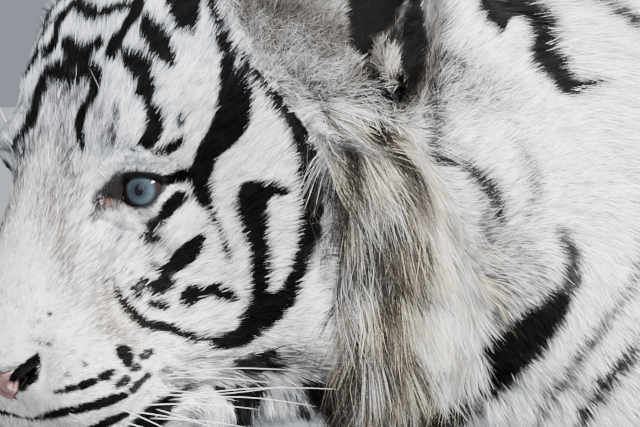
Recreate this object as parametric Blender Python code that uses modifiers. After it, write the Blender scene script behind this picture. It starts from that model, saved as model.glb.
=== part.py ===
"""A white tiger, life size, standing on all four feet with its head low and turned to its left.

The outline runs out to the tips of the coat. The animal faces -Y, its left side is +X and +Z is up.
The body is lofted and massed up whole, fused by a voxel remesh, thinned, and then parted by thin cuts
into the pieces that a person would name. Metres throughout.
"""

import math

import bmesh
import bpy
import numpy as np
from mathutils import Euler, Matrix, Vector

# Driving dimensions
WITHERS_HEIGHT = 0.935
NECK_TO_HEAD = Vector((0.05, -0.945, 0.79))  # the point midway between the eyes
HEAD_YAW = math.radians(22.0)  # turned to the animal's left
HEAD_PITCH = math.radians(36.0)  # nose carried low
EYE_OFFSET = (0.0476, 0.0060, -0.0045)
EYE_RADIUS = 0.0165
GAZE = (0.57, -0.66, 0.48)  # the way an eyeball faces, in the head's frame
FORE_SPACING = 0.235  # between the middles of the two fore feet
HIND_SPACING = 0.225
FORE_STAGGER = (-0.060, 0.050)  # how far the left and the right foot stand from square, along Y
HIND_STAGGER = (0.055, -0.050)
TAIL_RADII = (0.055, 0.056, 0.050, 0.044, 0.041, 0.039, 0.038, 0.036, 0.031)

# Building sizes
VOXEL = 0.0075
AROUND = 28  # corners of a lofted ring
STEPS = 4  # rings lofted between two stations
SMOOTH_PASSES = 6
BODY_FACES = 2550
HEAD_FACES = 2350
THIN_HOLD = 1.0  # how firmly the part that isn't being thinned keeps its triangles
CUT = 0.0004  # the thickness of a parting cut
SEAT_GAP = 0.0004  # between an eyeball and its socket

LEFT, RIGHT = 1, -1
SIDE_NAMES = {LEFT: "left", RIGHT: "right"}


# ---------------------------------------------------------------- small tools


def clear_scene():
    for obj in list(bpy.data.objects):
        bpy.data.objects.remove(obj)


def collection(name):
    made = bpy.data.collections.new(name)
    bpy.context.scene.collection.children.link(made)
    return made


def material(name, colour, roughness):
    made = bpy.data.materials.new(name)
    made.use_nodes = True
    shader = made.node_tree.nodes["Principled BSDF"]
    shader.inputs["Base Color"].default_value = (*colour, 1)
    shader.inputs["Roughness"].default_value = roughness
    shader.inputs["Metallic"].default_value = 0.0
    made.diffuse_color = (*colour, 1)
    return made


def mesh_object(name, bm, group):
    mesh = bpy.data.meshes.new(name)
    bm.to_mesh(mesh)
    bm.free()
    obj = bpy.data.objects.new(name, mesh)
    group.objects.link(obj)
    return obj


def head_matrix():
    """Carries the head's own frame, with its origin midway between the eyes, to its place."""
    turn = Matrix.Rotation(HEAD_YAW, 4, "Z") @ Matrix.Rotation(HEAD_PITCH, 4, "X")
    return Matrix.Translation(NECK_TO_HEAD) @ turn


def catmull(before, start, end, after, t):
    """A point between start and end on a smooth curve through all four."""
    slope_in = (end - before) * 0.5
    slope_out = (after - start) * 0.5
    t2, t3 = t * t, t * t * t
    along = start * (2 * t3 - 3 * t2 + 1) + end * (3 * t2 - 2 * t3)
    return along + slope_in * (t3 - 2 * t2 + t) + slope_out * (t3 - t2)


def smooth_ring(corners, count):
    """A closed smooth curve through the corners, as count points."""
    points = []
    total = len(corners)
    for i in range(count):
        place = i * total / count
        first = int(place)
        four = [corners[(first + k) % total] for k in (-1, 0, 1, 2)]
        points.append(catmull(*four, place - first))
    return points


def smooth_stations(rings, steps):
    """Rings added between the given ones, so that the loft runs smoothly through them all."""
    found = []
    last = len(rings) - 1
    for i in range(last):
        four = [rings[max(i - 1, 0)], rings[i], rings[i + 1], rings[min(i + 2, last)]]
        for step in range(steps):
            t = step / steps
            found.append([catmull(*column, t) for column in zip(*four)])
    found.append(rings[last])
    return found


def loft(bm, rings, matrix=None):
    """A closed skin through rings of equal counts, capped at both ends."""
    rows = [[bm.verts.new(p) for p in ring] for ring in rings]
    made = []
    for row, following in zip(rows, rows[1:]):
        count = len(row)
        for i in range(count):
            j = (i + 1) % count
            made.append(bm.faces.new((row[i], row[j], following[j], following[i])))
    made.append(bm.faces.new(rows[0][::-1]))
    made.append(bm.faces.new(rows[-1]))
    if matrix:
        bmesh.ops.transform(bm, matrix=matrix, verts=[v for row in rows for v in row])
    bmesh.ops.recalc_face_normals(bm, faces=made)


def mass(bm, centre, radii, matrix=None, turn=(0, 0, 0), around=24):
    """An ellipsoid of muscle, fat or fur. turn is in degrees about X, Y and Z."""
    rotation = Euler([math.radians(a) for a in turn]).to_matrix().to_4x4()
    place = Matrix.Translation(centre) @ rotation @ Matrix.Diagonal((*radii, 1))
    if matrix:
        place = matrix @ place
    bmesh.ops.create_uvsphere(bm, u_segments=around, v_segments=around * 2 // 3, radius=1, matrix=place)


def paired(bm, centre, radii, matrix=None, turn=(0, 0, 0)):
    """The same mass on both sides of the middle plane."""
    x, y, z = centre
    ax, ay, az = turn
    mass(bm, (x, y, z), radii, matrix, (ax, ay, az))
    mass(bm, (-x, y, z), radii, matrix, (ax, -ay, -az))


# ---------------------------------------------------------------- the body


def upright_ring(y, top, bottom, half_width, widest=0.5, x=0.0):
    """A ring across the body: widest is the height of the broadest place, as a share of the ring's height."""
    height = top - bottom
    middle = bottom + height * widest
    corners = [
        Vector((x, y, top)),
        Vector((x + half_width * 0.70, y, middle + (top - middle) * 0.76)),
        Vector((x + half_width, y, middle)),
        Vector((x + half_width * 0.70, y, bottom + (middle - bottom) * 0.22)),
        Vector((x, y, bottom)),
        Vector((x - half_width * 0.70, y, bottom + (middle - bottom) * 0.22)),
        Vector((x - half_width, y, middle)),
        Vector((x - half_width * 0.70, y, middle + (top - middle) * 0.76)),
    ]
    return smooth_ring(corners, AROUND)


def add_trunk(bm):
    top = WITHERS_HEIGHT
    stations = [
        # y, top, bottom, half width, widest
        (-0.640, top - 0.140, 0.560, 0.055, 0.50),
        (-0.610, top - 0.085, 0.490, 0.110, 0.48),
        (-0.530, top - 0.024, 0.430, 0.152, 0.45),
        (-0.430, top + 0.004, 0.395, 0.176, 0.42),
        (-0.300, top - 0.014, 0.378, 0.192, 0.42),
        (-0.140, top - 0.045, 0.376, 0.206, 0.44),
        (0.030, top - 0.058, 0.384, 0.212, 0.45),
        (0.190, top - 0.050, 0.404, 0.206, 0.47),
        (0.330, top - 0.036, 0.440, 0.192, 0.50),
        (0.460, top - 0.032, 0.486, 0.180, 0.54),
        (0.580, top - 0.056, 0.520, 0.166, 0.54),
        (0.680, top - 0.100, 0.560, 0.132, 0.54),
        (0.745, top - 0.165, 0.630, 0.070, 0.50),
    ]
    rings = [upright_ring(*station) for station in stations]
    loft(bm, smooth_stations(rings, STEPS))


def add_neck(bm):
    """The neck and its ruff, from between the shoulder blades to behind the ears."""
    head = head_matrix()
    stations = [
        # middle, half width, half height, lean in degrees
        (Vector((0.000, -0.420, 0.722)), 0.140, 0.190, 10),
        (Vector((0.000, -0.520, 0.730)), 0.150, 0.192, 14),
        (Vector((0.006, -0.620, 0.744)), 0.154, 0.184, 18),
        (Vector((0.016, -0.695, 0.756)), 0.154, 0.174, 20),
        (Vector((0.026, -0.760, 0.764)), 0.150, 0.164, 22),
        (Vector((0.036, -0.825, 0.768)), 0.130, 0.138, 24),
    ]
    rings = []
    for i, (middle, half_width, half_height, lean) in enumerate(stations):
        yaw = HEAD_YAW * i / (len(stations) - 1)
        turn = Matrix.Rotation(yaw, 3, "Z") @ Matrix.Rotation(math.radians(lean), 3, "X")
        flat = upright_ring(0.0, half_height, -half_height, half_width, 0.46)
        rings.append([middle + turn @ point for point in flat])
    loft(bm, smooth_stations(rings, STEPS))
    # the ruff that frames the cheeks and hangs under the throat
    paired(bm, (0.090, 0.105, -0.085), (0.072, 0.072, 0.112), head, (10, 0, 0))
    mass(bm, (0.0, 0.070, -0.145), (0.092, 0.110, 0.068), head, (-16, 0, 0))


def add_shoulders(bm):
    for side, stagger in zip((LEFT, RIGHT), FORE_STAGGER):
        shift = stagger * 0.25
        mass(bm, (side * 0.100, -0.425 + shift, 0.735), (0.072, 0.128, 0.190), None, (-20, side * -14, 0))
        mass(bm, (side * 0.108, -0.480 + shift, 0.610), (0.076, 0.130, 0.170), None, (14, 0, 0))
        mass(bm, (side * 0.110, -0.380 + shift, 0.570), (0.072, 0.110, 0.160), None, (-14, 0, 0))
    mass(bm, (0.0, -0.540, 0.560), (0.110, 0.105, 0.140))


def add_haunches(bm):
    for side, stagger in zip((LEFT, RIGHT), HIND_STAGGER):
        shift = stagger * 0.25
        mass(bm, (side * 0.102, 0.530 + shift, 0.680), (0.084, 0.175, 0.190), None, (14, 0, 0))
        mass(bm, (side * 0.098, 0.620 + shift, 0.600), (0.074, 0.112, 0.150))
        mass(bm, (side * 0.110, 0.400 + shift, 0.520), (0.070, 0.090, 0.110), None, (-30, 0, 0))
    mass(bm, (0.0, 0.240, 0.470), (0.130, 0.200, 0.062), None, (10, 0, 0))


def add_leg(bm, side, stations, foot_x, stagger):
    """A leg as level rings: (height, front, back, half width, x offset from the foot's middle)."""
    top = stations[0][0]
    rings = []
    for z, front, back, half_width, offset in stations:
        slide = stagger * (1 - z / top)
        y_middle, y_half = (front + back) / 2 + slide, (back - front) / 2
        x_middle = side * (foot_x + offset)
        ring = []
        for i in range(AROUND):
            angle = 2 * math.pi * i / AROUND
            ring.append(
                Vector((x_middle + half_width * math.sin(angle), y_middle - y_half * math.cos(angle), z))
            )
        rings.append(ring)
    loft(bm, smooth_stations(rings, STEPS))


def add_paw(bm, x, y, length, width):
    """A broad cat's paw with four toes, its ball under (x, y)."""
    mass(bm, (x, y + length * 0.18, 0.040), (width * 0.47, length * 0.36, 0.046))
    mass(bm, (x, y - length * 0.08, 0.036), (width * 0.50, length * 0.34, 0.042))
    toe = width * 0.165
    for place, ahead in ((-1.5, 0.0), (-0.5, 0.014), (0.5, 0.014), (1.5, 0.0)):
        centre = (x + place * width * 0.245, y - length * 0.36 - ahead, 0.030)
        mass(bm, centre, (toe, 0.034, 0.034), None, (0, 0, place * 6))


def add_forelegs(bm):
    stations = [
        # height, front, back, half width, x offset
        (0.620, -0.575, -0.310, 0.062, -0.006),
        (0.540, -0.575, -0.300, 0.070, 0.000),
        (0.460, -0.540, -0.290, 0.072, 0.004),
        (0.395, -0.505, -0.298, 0.069, 0.004),
        (0.330, -0.486, -0.320, 0.063, 0.003),
        (0.250, -0.474, -0.340, 0.056, 0.001),
        (0.180, -0.470, -0.352, 0.052, 0.000),
        (0.120, -0.474, -0.356, 0.053, 0.000),
        (0.070, -0.490, -0.358, 0.058, 0.000),
        (0.020, -0.495, -0.366, 0.059, 0.000),
    ]
    for side, stagger in zip((LEFT, RIGHT), FORE_STAGGER):
        foot_x = FORE_SPACING / 2
        add_leg(bm, side, stations, foot_x, stagger)
        add_paw(bm, side * foot_x, -0.452 + stagger, 0.160, 0.134)


def add_hindlegs(bm):
    stations = [
        (0.700, 0.350, 0.715, 0.072, -0.005),
        (0.600, 0.318, 0.735, 0.082, -0.002),
        (0.520, 0.304, 0.722, 0.083, 0.002),
        (0.450, 0.318, 0.684, 0.075, 0.006),
        (0.390, 0.374, 0.656, 0.065, 0.006),
        (0.335, 0.438, 0.656, 0.055, 0.004),
        (0.285, 0.498, 0.680, 0.048, 0.002),
        (0.245, 0.538, 0.692, 0.045, 0.000),
        (0.200, 0.552, 0.676, 0.044, 0.000),
        (0.140, 0.542, 0.652, 0.047, 0.000),
        (0.080, 0.512, 0.634, 0.053, 0.000),
        (0.020, 0.500, 0.628, 0.055, 0.000),
    ]
    for side, stagger in zip((LEFT, RIGHT), HIND_STAGGER):
        foot_x = HIND_SPACING / 2
        add_leg(bm, side, stations, foot_x, stagger)
        add_paw(bm, side * foot_x, 0.536 + stagger, 0.148, 0.122)


def tail_line():
    return [
        Vector((0.000, 0.600, 0.800)),
        Vector((0.000, 0.700, 0.795)),
        Vector((0.001, 0.790, 0.745)),
        Vector((0.004, 0.855, 0.630)),
        Vector((0.010, 0.890, 0.495)),
        Vector((0.020, 0.925, 0.355)),
        Vector((0.036, 0.990, 0.240)),
        Vector((0.056, 1.085, 0.190)),
        Vector((0.072, 1.175, 0.220)),
    ]


def add_tail(bm):
    line = tail_line()
    rings = []
    for i, (middle, radius) in enumerate(zip(line, TAIL_RADII)):
        along = (line[min(i + 1, len(line) - 1)] - line[max(i - 1, 0)]).normalized()
        turn = along.to_track_quat("Z", "X").to_matrix()
        ring = []
        for k in range(AROUND):
            angle = 2 * math.pi * k / AROUND
            ring.append(middle + turn @ Vector((math.cos(angle), math.sin(angle), 0)) * radius)
        rings.append(ring)
    loft(bm, smooth_stations(rings, STEPS))
    mass(bm, line[-1], (TAIL_RADII[-1],) * 3)


# ---------------------------------------------------------------- the head


def head_ring(y, top, points, bottom):
    """A ring across the head, from the top of the middle plane down one side to the bottom, mirrored."""
    right = [Vector((x, y, z)) for x, z in points]
    left = [Vector((-x, y, z)) for x, z in reversed(points)]
    corners = [Vector((0, y, top)), *right, Vector((0, y, bottom)), *left]
    return smooth_ring(corners, AROUND)


def add_head(bm):
    """The head in its own frame: the eyes at the origin, the nose towards -Y and the palate level."""
    place = head_matrix()
    stations = [
        # y, top, (x, z) down one side, bottom
        (-0.122, -0.034, ((0.018, -0.038), (0.030, -0.056), (0.038, -0.080), (0.028, -0.094)), -0.100),
        (-0.108, -0.016, ((0.028, -0.024), (0.048, -0.050), (0.058, -0.082), (0.044, -0.108)), -0.118),
        (-0.084, 0.002, ((0.034, -0.010), (0.058, -0.045), (0.070, -0.086), (0.056, -0.124)), -0.138),
        (-0.060, 0.016, ((0.034, 0.004), (0.057, -0.036), (0.074, -0.088), (0.064, -0.134)), -0.147),
        (-0.036, 0.031, ((0.032, 0.021), (0.050, -0.024), (0.080, -0.086), (0.076, -0.140)), -0.152),
        (-0.014, 0.041, ((0.036, 0.034), (0.050, -0.004), (0.088, -0.080), (0.088, -0.148)), -0.160),
        (0.006, 0.053, ((0.050, 0.047), (0.066, 0.000), (0.108, -0.076), (0.098, -0.156)), -0.170),
        (0.030, 0.069, ((0.067, 0.058), (0.092, 0.008), (0.126, -0.074), (0.108, -0.164)), -0.182),
        (0.064, 0.086, ((0.080, 0.070), (0.118, 0.014), (0.143, -0.070), (0.120, -0.170)), -0.196),
        (0.110, 0.094, ((0.088, 0.074), (0.131, 0.014), (0.153, -0.068), (0.126, -0.168)), -0.202),
        (0.152, 0.084, ((0.088, 0.062), (0.131, 0.008), (0.154, -0.066), (0.124, -0.160)), -0.196),
        (0.192, 0.052, ((0.080, 0.032), (0.118, -0.010), (0.137, -0.066), (0.104, -0.140)), -0.172),
        (0.225, 0.008, ((0.055, -0.006), (0.084, -0.030), (0.092, -0.066), (0.064, -0.108)), -0.125),
    ]
    rings = [head_ring(*station) for station in stations]
    loft(bm, smooth_stations(rings, STEPS), place)
    paired(bm, (0.037, -0.086, -0.077), (0.041, 0.042, 0.037), place)  # whisker pads
    mass(bm, (0, -0.104, -0.043), (0.029, 0.026, 0.026), place)  # nose
    mass(bm, (0, -0.080, -0.121), (0.038, 0.036, 0.025), place)  # chin
    paired(bm, (0.046, 0.004, 0.030), (0.030, 0.022, 0.016), place, (-20, 12, 0))  # brows
    paired(bm, (0.056, 0.006, -0.030), (0.030, 0.024, 0.014), place, (16, 16, 0))  # under the eyes
    paired(bm, (0.084, 0.082, -0.124), (0.068, 0.104, 0.084), place)  # jowls


def ear_matrix(side):
    """An ear's own frame: Z along the ear to its tip, -Y out of its opening."""
    base = Vector((side * 0.100, 0.164, -0.010))
    turn = Euler((math.radians(-28), side * math.radians(38), side * math.radians(28)))
    return head_matrix() @ Matrix.Translation(base) @ turn.to_matrix().to_4x4()


def add_ears(bm):
    for side in (LEFT, RIGHT):
        place = ear_matrix(side)
        mass(bm, (0, 0.004, 0.054), (0.055, 0.027, 0.066), place)
        mass(bm, (0, 0.012, 0.010), (0.054, 0.040, 0.050), place)


# ---------------------------------------------------------------- fusing and parting


def fuse(name, bm, group):
    """Everything in bm as one smooth skin."""
    obj = mesh_object(name, bm, group)
    remesh = obj.modifiers.new("fuse", "REMESH")
    remesh.mode = "VOXEL"
    remesh.voxel_size = VOXEL
    relax = obj.modifiers.new("relax", "SMOOTH")
    relax.factor = 0.5
    relax.iterations = SMOOTH_PASSES
    return baked(obj)


def baked(obj):
    """The object with its modifiers applied."""
    graph = bpy.context.evaluated_depsgraph_get()
    mesh = bpy.data.meshes.new_from_object(obj.evaluated_get(graph))
    old = obj.data
    obj.modifiers.clear()
    obj.data = mesh
    bpy.data.meshes.remove(old)
    return obj


def boolean(obj, other, operation):
    cut = obj.modifiers.new(operation.lower(), "BOOLEAN")
    cut.operation = operation
    cut.object = other
    cut.solver = "EXACT"
    baked(obj)
    bpy.data.objects.remove(other)
    return obj


def in_head(spot):
    """Whether a place in the head's frame counts as the head, where smaller triangles are kept."""
    return spot.y < 0.20 and spot.length < 0.32


def thin(obj, body_faces, head_faces):
    """Reduces the mesh to about those numbers of triangles, first on the body and then on the head."""
    place = head_matrix().inverted()
    near = {v.index for v in obj.data.vertices if in_head(place @ v.co)}
    far = {v.index for v in obj.data.vertices} - near
    for name, members in (("head", near), ("body", far)):
        obj.vertex_groups.new(name=name).add(list(members), 1.0, "REPLACE")
    head_now = sum(len(p.vertices) - 2 for p in obj.data.polygons if in_head(place @ p.center))
    for name, target in (("body", body_faces + head_now), ("head", body_faces + head_faces)):
        triangles = sum(len(p.vertices) - 2 for p in obj.data.polygons)
        less = obj.modifiers.new("thin_" + name, "DECIMATE")
        less.ratio = target / triangles
        less.vertex_group = name
        less.vertex_group_factor = THIN_HOLD
        baked(obj)
    obj.vertex_groups.clear()
    return obj


def block(low, high, matrix=None):
    """The eight corners of an upright block."""
    spans = [(low[axis], high[axis]) for axis in range(3)]
    corners = [Vector((x, y, z)) for x in spans[0] for y in spans[1] for z in spans[2]]
    return [matrix @ c for c in corners] if matrix else corners


def beyond(point, direction, reach, length, matrix=None):
    """The corners of a block that starts at a square plane and runs along direction."""
    turn = Vector(direction).to_track_quat("Z", "X").to_matrix().to_4x4()
    place = Matrix.Translation(point) @ turn
    if matrix:
        place = matrix @ place
    return block((-reach, -reach, 0), (reach, reach, length), place)


def wedge(outline, low, high, matrix=None):
    """The corners of a convex (y, z) outline drawn out along X."""
    corners = [Vector((x, y, z)) for x in (low, high) for y, z in outline]
    return [matrix @ c for c in corners] if matrix else corners


def hull(name, corners, grow):
    """The convex solid round the corners, each face moved out by grow."""
    bm = bmesh.new()
    verts = [bm.verts.new(c) for c in corners]
    bmesh.ops.convex_hull(bm, input=verts)
    bmesh.ops.recalc_face_normals(bm, faces=bm.faces[:])
    shifts = {}
    for vert in bm.verts:
        normals = []
        for face in vert.link_faces:
            if all(face.normal.dot(other) < 0.9999 for other in normals):
                normals.append(face.normal.copy())
        rows = np.array([tuple(n) for n in normals])
        solved = np.linalg.lstsq(rows, np.full(len(normals), grow), rcond=None)[0]
        shifts[vert] = Vector([float(value) for value in solved])
    for vert, shift in shifts.items():
        vert.co += shift
    return mesh_object(name, bm, CUTTERS)


def part_off(body, name, corners):
    """Takes what lies inside the corners off the body as a solid of its own, a thin cut away."""
    piece = body.copy()
    piece.data = body.data.copy()
    piece.name = name
    body.users_collection[0].objects.link(piece)
    boolean(piece, hull(name + "_inside", corners, 0.0), "INTERSECT")
    boolean(body, hull(name + "_cut", corners, CUT), "DIFFERENCE")
    return piece


def part_legs(body):
    pieces = []
    for side in (LEFT, RIGHT):
        name = SIDE_NAMES[side]
        inner, outer = sorted((side * 0.004, side * 0.32))
        pieces.append(part_off(body, "fore_paw_" + name, block((inner, -0.72, -0.1), (outer, -0.25, 0.076))))
        pieces.append(part_off(body, "forearm_" + name, block((inner, -0.72, -0.1), (outer, -0.25, 0.362))))
        shoulder = [
            Vector((side * x, y, z))
            for x, z in ((0.004, 0.30), (0.004, 0.372), (0.220, 0.630), (0.32, 0.630), (0.32, 0.30))
            for y in (-0.72, -0.25)
        ]
        pieces.append(part_off(body, "upper_arm_" + name, shoulder))
        pieces.append(part_off(body, "hind_paw_" + name, block((inner, 0.30, -0.1), (outer, 0.80, 0.070))))
        pieces.append(part_off(body, "shank_" + name, block((inner, 0.30, -0.1), (outer, 0.80, 0.312))))
        thigh = [
            Vector((side * x, y, z))
            for x, z, front, back in (
                (0.004, 0.25, 0.27, 0.79),
                (0.004, 0.455, 0.27, 0.79),
                (0.250, 0.750, 0.34, 0.76),
                (0.340, 0.25, 0.27, 0.79),
            )
            for y in (front, back)
        ]
        pieces.append(part_off(body, "thigh_" + name, thigh))
    return pieces


def part_tail(body):
    tip = part_off(body, "tail_tip", beyond((0.034, 0.975, 0.262), (0.1, 0.80, -0.55), 0.14, 0.5))
    middle = part_off(body, "tail_middle", block((-0.15, 0.80, 0.0), (0.15, 1.35, 0.47)))
    base = part_off(
        body,
        "tail_base",
        wedge(((0.750, 0.698), (0.842, 0.773), (1.32, 0.80), (1.32, 0.02), (0.80, 0.02)), -0.12, 0.12),
    )
    return [base, middle, tip]


def part_head(body):
    place = head_matrix()
    pieces = []
    for side in (LEFT, RIGHT):
        corners = beyond((0, 0, 0.056), (0, 0, 1), 0.066, 0.12, ear_matrix(side))
        pieces.append(part_off(body, "ear_" + SIDE_NAMES[side], corners))
    leather = ((0.028, -0.024), (0.028, -0.044), (0.013, -0.068))
    nose = [
        place @ Vector((side * x, y, z))
        for side in (LEFT, RIGHT)
        for y in (-0.150, -0.110)
        for x, z in leather
    ]
    pieces.append(part_off(body, "nose", nose))
    profile = ((-0.16, -0.104), (-0.045, -0.108), (-0.008, -0.146), (-0.008, -0.22), (-0.16, -0.22))
    pieces.append(part_off(body, "lower_jaw", wedge(profile, -0.12, 0.12, place)))
    pieces.append(part_off(body, "head", beyond((0, 0.235, -0.03), (0, -0.914, 0.407), 0.30, 0.6, place)))
    return pieces


def seat_eyes(body):
    eyes = []
    for side in (LEFT, RIGHT):
        centre = Vector((side * EYE_OFFSET[0], EYE_OFFSET[1], EYE_OFFSET[2]))
        gaze = Vector((side * GAZE[0], GAZE[1], GAZE[2]))
        opening = bmesh.new()
        place = head_matrix()
        turn = (20, side * 6, side * 38)
        mass(opening, centre + gaze * 0.019, (0.0190, 0.0150, 0.0115), place, turn, 18)
        boolean(body, mesh_object("lids", opening, CUTTERS), "DIFFERENCE")
        socket = bmesh.new()
        mass(socket, centre, (EYE_RADIUS + SEAT_GAP,) * 3, place, around=15)
        boolean(body, mesh_object("socket", socket, CUTTERS), "DIFFERENCE")
        ball = bmesh.new()
        mass(ball, centre, (EYE_RADIUS,) * 3, place, around=15)
        eyes.append(mesh_object("eye_" + SIDE_NAMES[side], ball, TIGER))
    return eyes


def stand_on_floor(pieces):
    """Moves everything so that the middle of its bounding box's base is the origin."""
    corners = [v.co for piece in pieces for v in piece.data.vertices]
    low = [min(c[axis] for c in corners) for axis in range(3)]
    high = [max(c[axis] for c in corners) for axis in range(3)]
    shift = Vector((-(low[0] + high[0]) / 2, -(low[1] + high[1]) / 2, -low[2]))
    for piece in pieces:
        piece.data.transform(Matrix.Translation(shift))
    return shift


def main():
    bm = bmesh.new()
    add_trunk(bm)
    add_neck(bm)
    add_shoulders(bm)
    add_haunches(bm)
    add_forelegs(bm)
    add_hindlegs(bm)
    add_tail(bm)
    add_head(bm)
    add_ears(bm)
    body = fuse("trunk", bm, TIGER)
    thin(body, BODY_FACES, HEAD_FACES)
    boolean(body, hull("floor", block((-1, -2, -0.5), (1, 2, 0.0)), 0.0), "DIFFERENCE")
    eyes = seat_eyes(body)
    pieces = part_legs(body) + part_tail(body) + part_head(body)
    pieces.append(part_off(body, "neck", beyond((0, -0.56, 0.75), (0, -0.87, 0.49), 0.34, 0.5)))
    pieces.append(body)
    for piece in pieces + eyes:
        piece.data.materials.clear()
        look = EYE_LOOK if piece in eyes else NOSE_LOOK if piece.name == "nose" else COAT_LOOK
        piece.data.materials.append(material(piece.name, *look))
    return stand_on_floor(pieces + eyes)


COAT_LOOK = ((0.80, 0.79, 0.76), 0.85)
NOSE_LOOK = ((0.62, 0.36, 0.33), 0.5)
EYE_LOOK = ((0.35, 0.48, 0.60), 0.1)

clear_scene()
TIGER = collection("white_tiger")
CUTTERS = collection("cutters")
MOVED = main()
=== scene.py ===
"""A white tiger, life size: skin, coat, markings, eyes, nose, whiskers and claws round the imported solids.

The head is described in its own frame: X to its left, -Y towards the nose, Z up from the palate, and
the origin midway between the eyes. Markings of the head and neck are described on a flat plane that
faces the left cheek, in millimetres right of and above the near iris. Everything else is in metres.
"""

import math
from dataclasses import dataclass

import bmesh
import bpy
import numpy as np
from mathutils import Matrix, Vector
from mathutils.bvhtree import BVHTree
from mathutils.kdtree import KDTree


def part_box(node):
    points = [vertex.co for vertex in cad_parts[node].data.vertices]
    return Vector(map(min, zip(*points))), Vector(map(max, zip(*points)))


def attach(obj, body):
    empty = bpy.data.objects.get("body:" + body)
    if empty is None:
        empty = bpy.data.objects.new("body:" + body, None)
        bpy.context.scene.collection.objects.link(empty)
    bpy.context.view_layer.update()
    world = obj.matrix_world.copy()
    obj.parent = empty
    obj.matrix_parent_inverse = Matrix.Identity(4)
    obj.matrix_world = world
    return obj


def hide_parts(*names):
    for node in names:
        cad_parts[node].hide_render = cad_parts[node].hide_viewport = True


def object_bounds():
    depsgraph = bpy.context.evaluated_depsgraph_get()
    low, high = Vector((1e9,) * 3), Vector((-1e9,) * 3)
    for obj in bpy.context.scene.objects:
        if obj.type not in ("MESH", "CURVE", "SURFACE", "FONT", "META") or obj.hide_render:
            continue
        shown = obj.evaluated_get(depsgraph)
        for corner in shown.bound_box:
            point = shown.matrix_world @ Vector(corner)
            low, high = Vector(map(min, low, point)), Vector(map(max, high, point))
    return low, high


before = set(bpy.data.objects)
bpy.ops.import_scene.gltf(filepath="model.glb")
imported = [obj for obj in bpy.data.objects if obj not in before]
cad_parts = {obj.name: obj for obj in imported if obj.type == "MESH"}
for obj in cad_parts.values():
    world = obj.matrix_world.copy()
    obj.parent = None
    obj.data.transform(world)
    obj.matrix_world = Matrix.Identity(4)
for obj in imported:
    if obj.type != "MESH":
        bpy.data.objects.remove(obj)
CAD_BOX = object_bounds()
FLOOR = CAD_BOX[0].z
NODES = sorted(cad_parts)
FLESH = [name for name in NODES if not name.startswith("eye_")]
PAWS = [name for name in NODES if "paw" in name]
LEFT, RIGHT = 1, -1
SIDES = {"left": LEFT, "right": RIGHT}
MM = 0.001

# The skin
VOXEL = 0.0099
GROW = 0.0006  # how far the solids are grown to run into each other
SMOOTH_BODY = 18
SMOOTH_HEAD = 6

# The head
HEAD_PITCH = math.radians(36)
CHEEK_TURN = math.radians(52)  # the way the cheek plane faces, round from the nose to the left
CHEEK_TILT = math.radians(2)
VIEW_DISTANCE = 3.0
VIEW_WIDTH = 0.384  # the width that the camera sees at the near eye
VIEW_SHIFT = (0.108, -0.014)  # from the near iris to the middle of the view
GAZE = np.array([0.57, -0.66, 0.48])
EYES_MIDDLE = np.array([0.0, 0.0060, -0.0045])  # in the head's frame


# ------------------------------------------------------------ small tools


def unit(vectors):
    """Vectors of length one."""
    return vectors / np.maximum(np.linalg.norm(vectors, axis=-1, keepdims=True), 1e-12)


def ramp(values, low, high):
    """0 below low and 1 above high, smooth between."""
    t = np.clip((values - low) / (high - low), 0, 1)
    return t * t * (3 - 2 * t)


def near(points, centre, radii):
    """1 at the centre, falling off round it."""
    return np.exp(-(((points - np.array(centre)) / np.array(radii)) ** 2).sum(-1))


def node_middle(name):
    low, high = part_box(name)
    return (np.array(low) + np.array(high)) / 2


def owned(owners, names):
    """Whether each place belongs to one of the named nodes; owners gives nodes by number."""
    return np.isin(owners, [NODES.index(name) for name in names])


def mixed(first, second, share):
    """From the first colour or way to the second, by each place's share."""
    return first + (second - first) * share[..., None]


def towards(values, goal, share):
    """The values, taken over by the goal as the share goes from 0 to 1."""
    return values * (1 - share) + goal * share


def along_skin(ways, normals):
    """Ways laid flat on the surface, of length one."""
    return unit(ways - normals * (ways * normals).sum(1, keepdims=True))


def placed(name, data):
    """A new object in the scene."""
    obj = bpy.data.objects.new(name, data)
    bpy.context.scene.collection.objects.link(obj)
    return obj


def shade_smooth(mesh):
    mesh.polygons.foreach_set("use_smooth", [True] * len(mesh.polygons))


def ring_quads(rings, count):
    """Quads between rings of so many corners each."""
    quads = []
    for r in range(rings - 1):
        for i in range(count):
            j = (i + 1) % count
            quads.append((r * count + i, r * count + j, (r + 1) * count + j, (r + 1) * count + i))
    return quads


def noise(points, size, seed):
    """Soft random bumps from -1 to 1, as sums of waves in random directions."""
    rng = np.random.default_rng(seed)
    total = np.zeros(len(points))
    for _ in range(12):
        way = unit(rng.normal(size=3)) * rng.uniform(0.6, 1.6) * 2 * math.pi / size
        total += np.sin(points @ way + rng.uniform(0, 6.28))
    return np.clip(total / 4, -1, 1)


# ------------------------------------------------------------ the head's frame and the cheek plane


def turn_z(angle):
    c, s = math.cos(angle), math.sin(angle)
    return np.array([[c, -s, 0], [s, c, 0], [0, 0, 1]])


def turn_x(angle):
    c, s = math.cos(angle), math.sin(angle)
    return np.array([[1, 0, 0], [0, c, -s], [0, s, c]])


def turn_y(angle):
    c, s = math.cos(angle), math.sin(angle)
    return np.array([[c, 0, s], [0, 1, 0], [-s, 0, c]])


EYE_LINE = node_middle("eye_left") - node_middle("eye_right")
HEAD_YAW = math.atan2(EYE_LINE[1], EYE_LINE[0])
HEAD_AXES = turn_z(HEAD_YAW) @ turn_x(HEAD_PITCH)
HEAD_ORIGIN = (node_middle("eye_left") + node_middle("eye_right")) / 2 - HEAD_AXES @ EYES_MIDDLE
EYE_SPREAD = float(np.linalg.norm(EYE_LINE)) / 2
EYE_RADIUS = float(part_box("eye_left")[1].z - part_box("eye_left")[0].z) / 2


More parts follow.
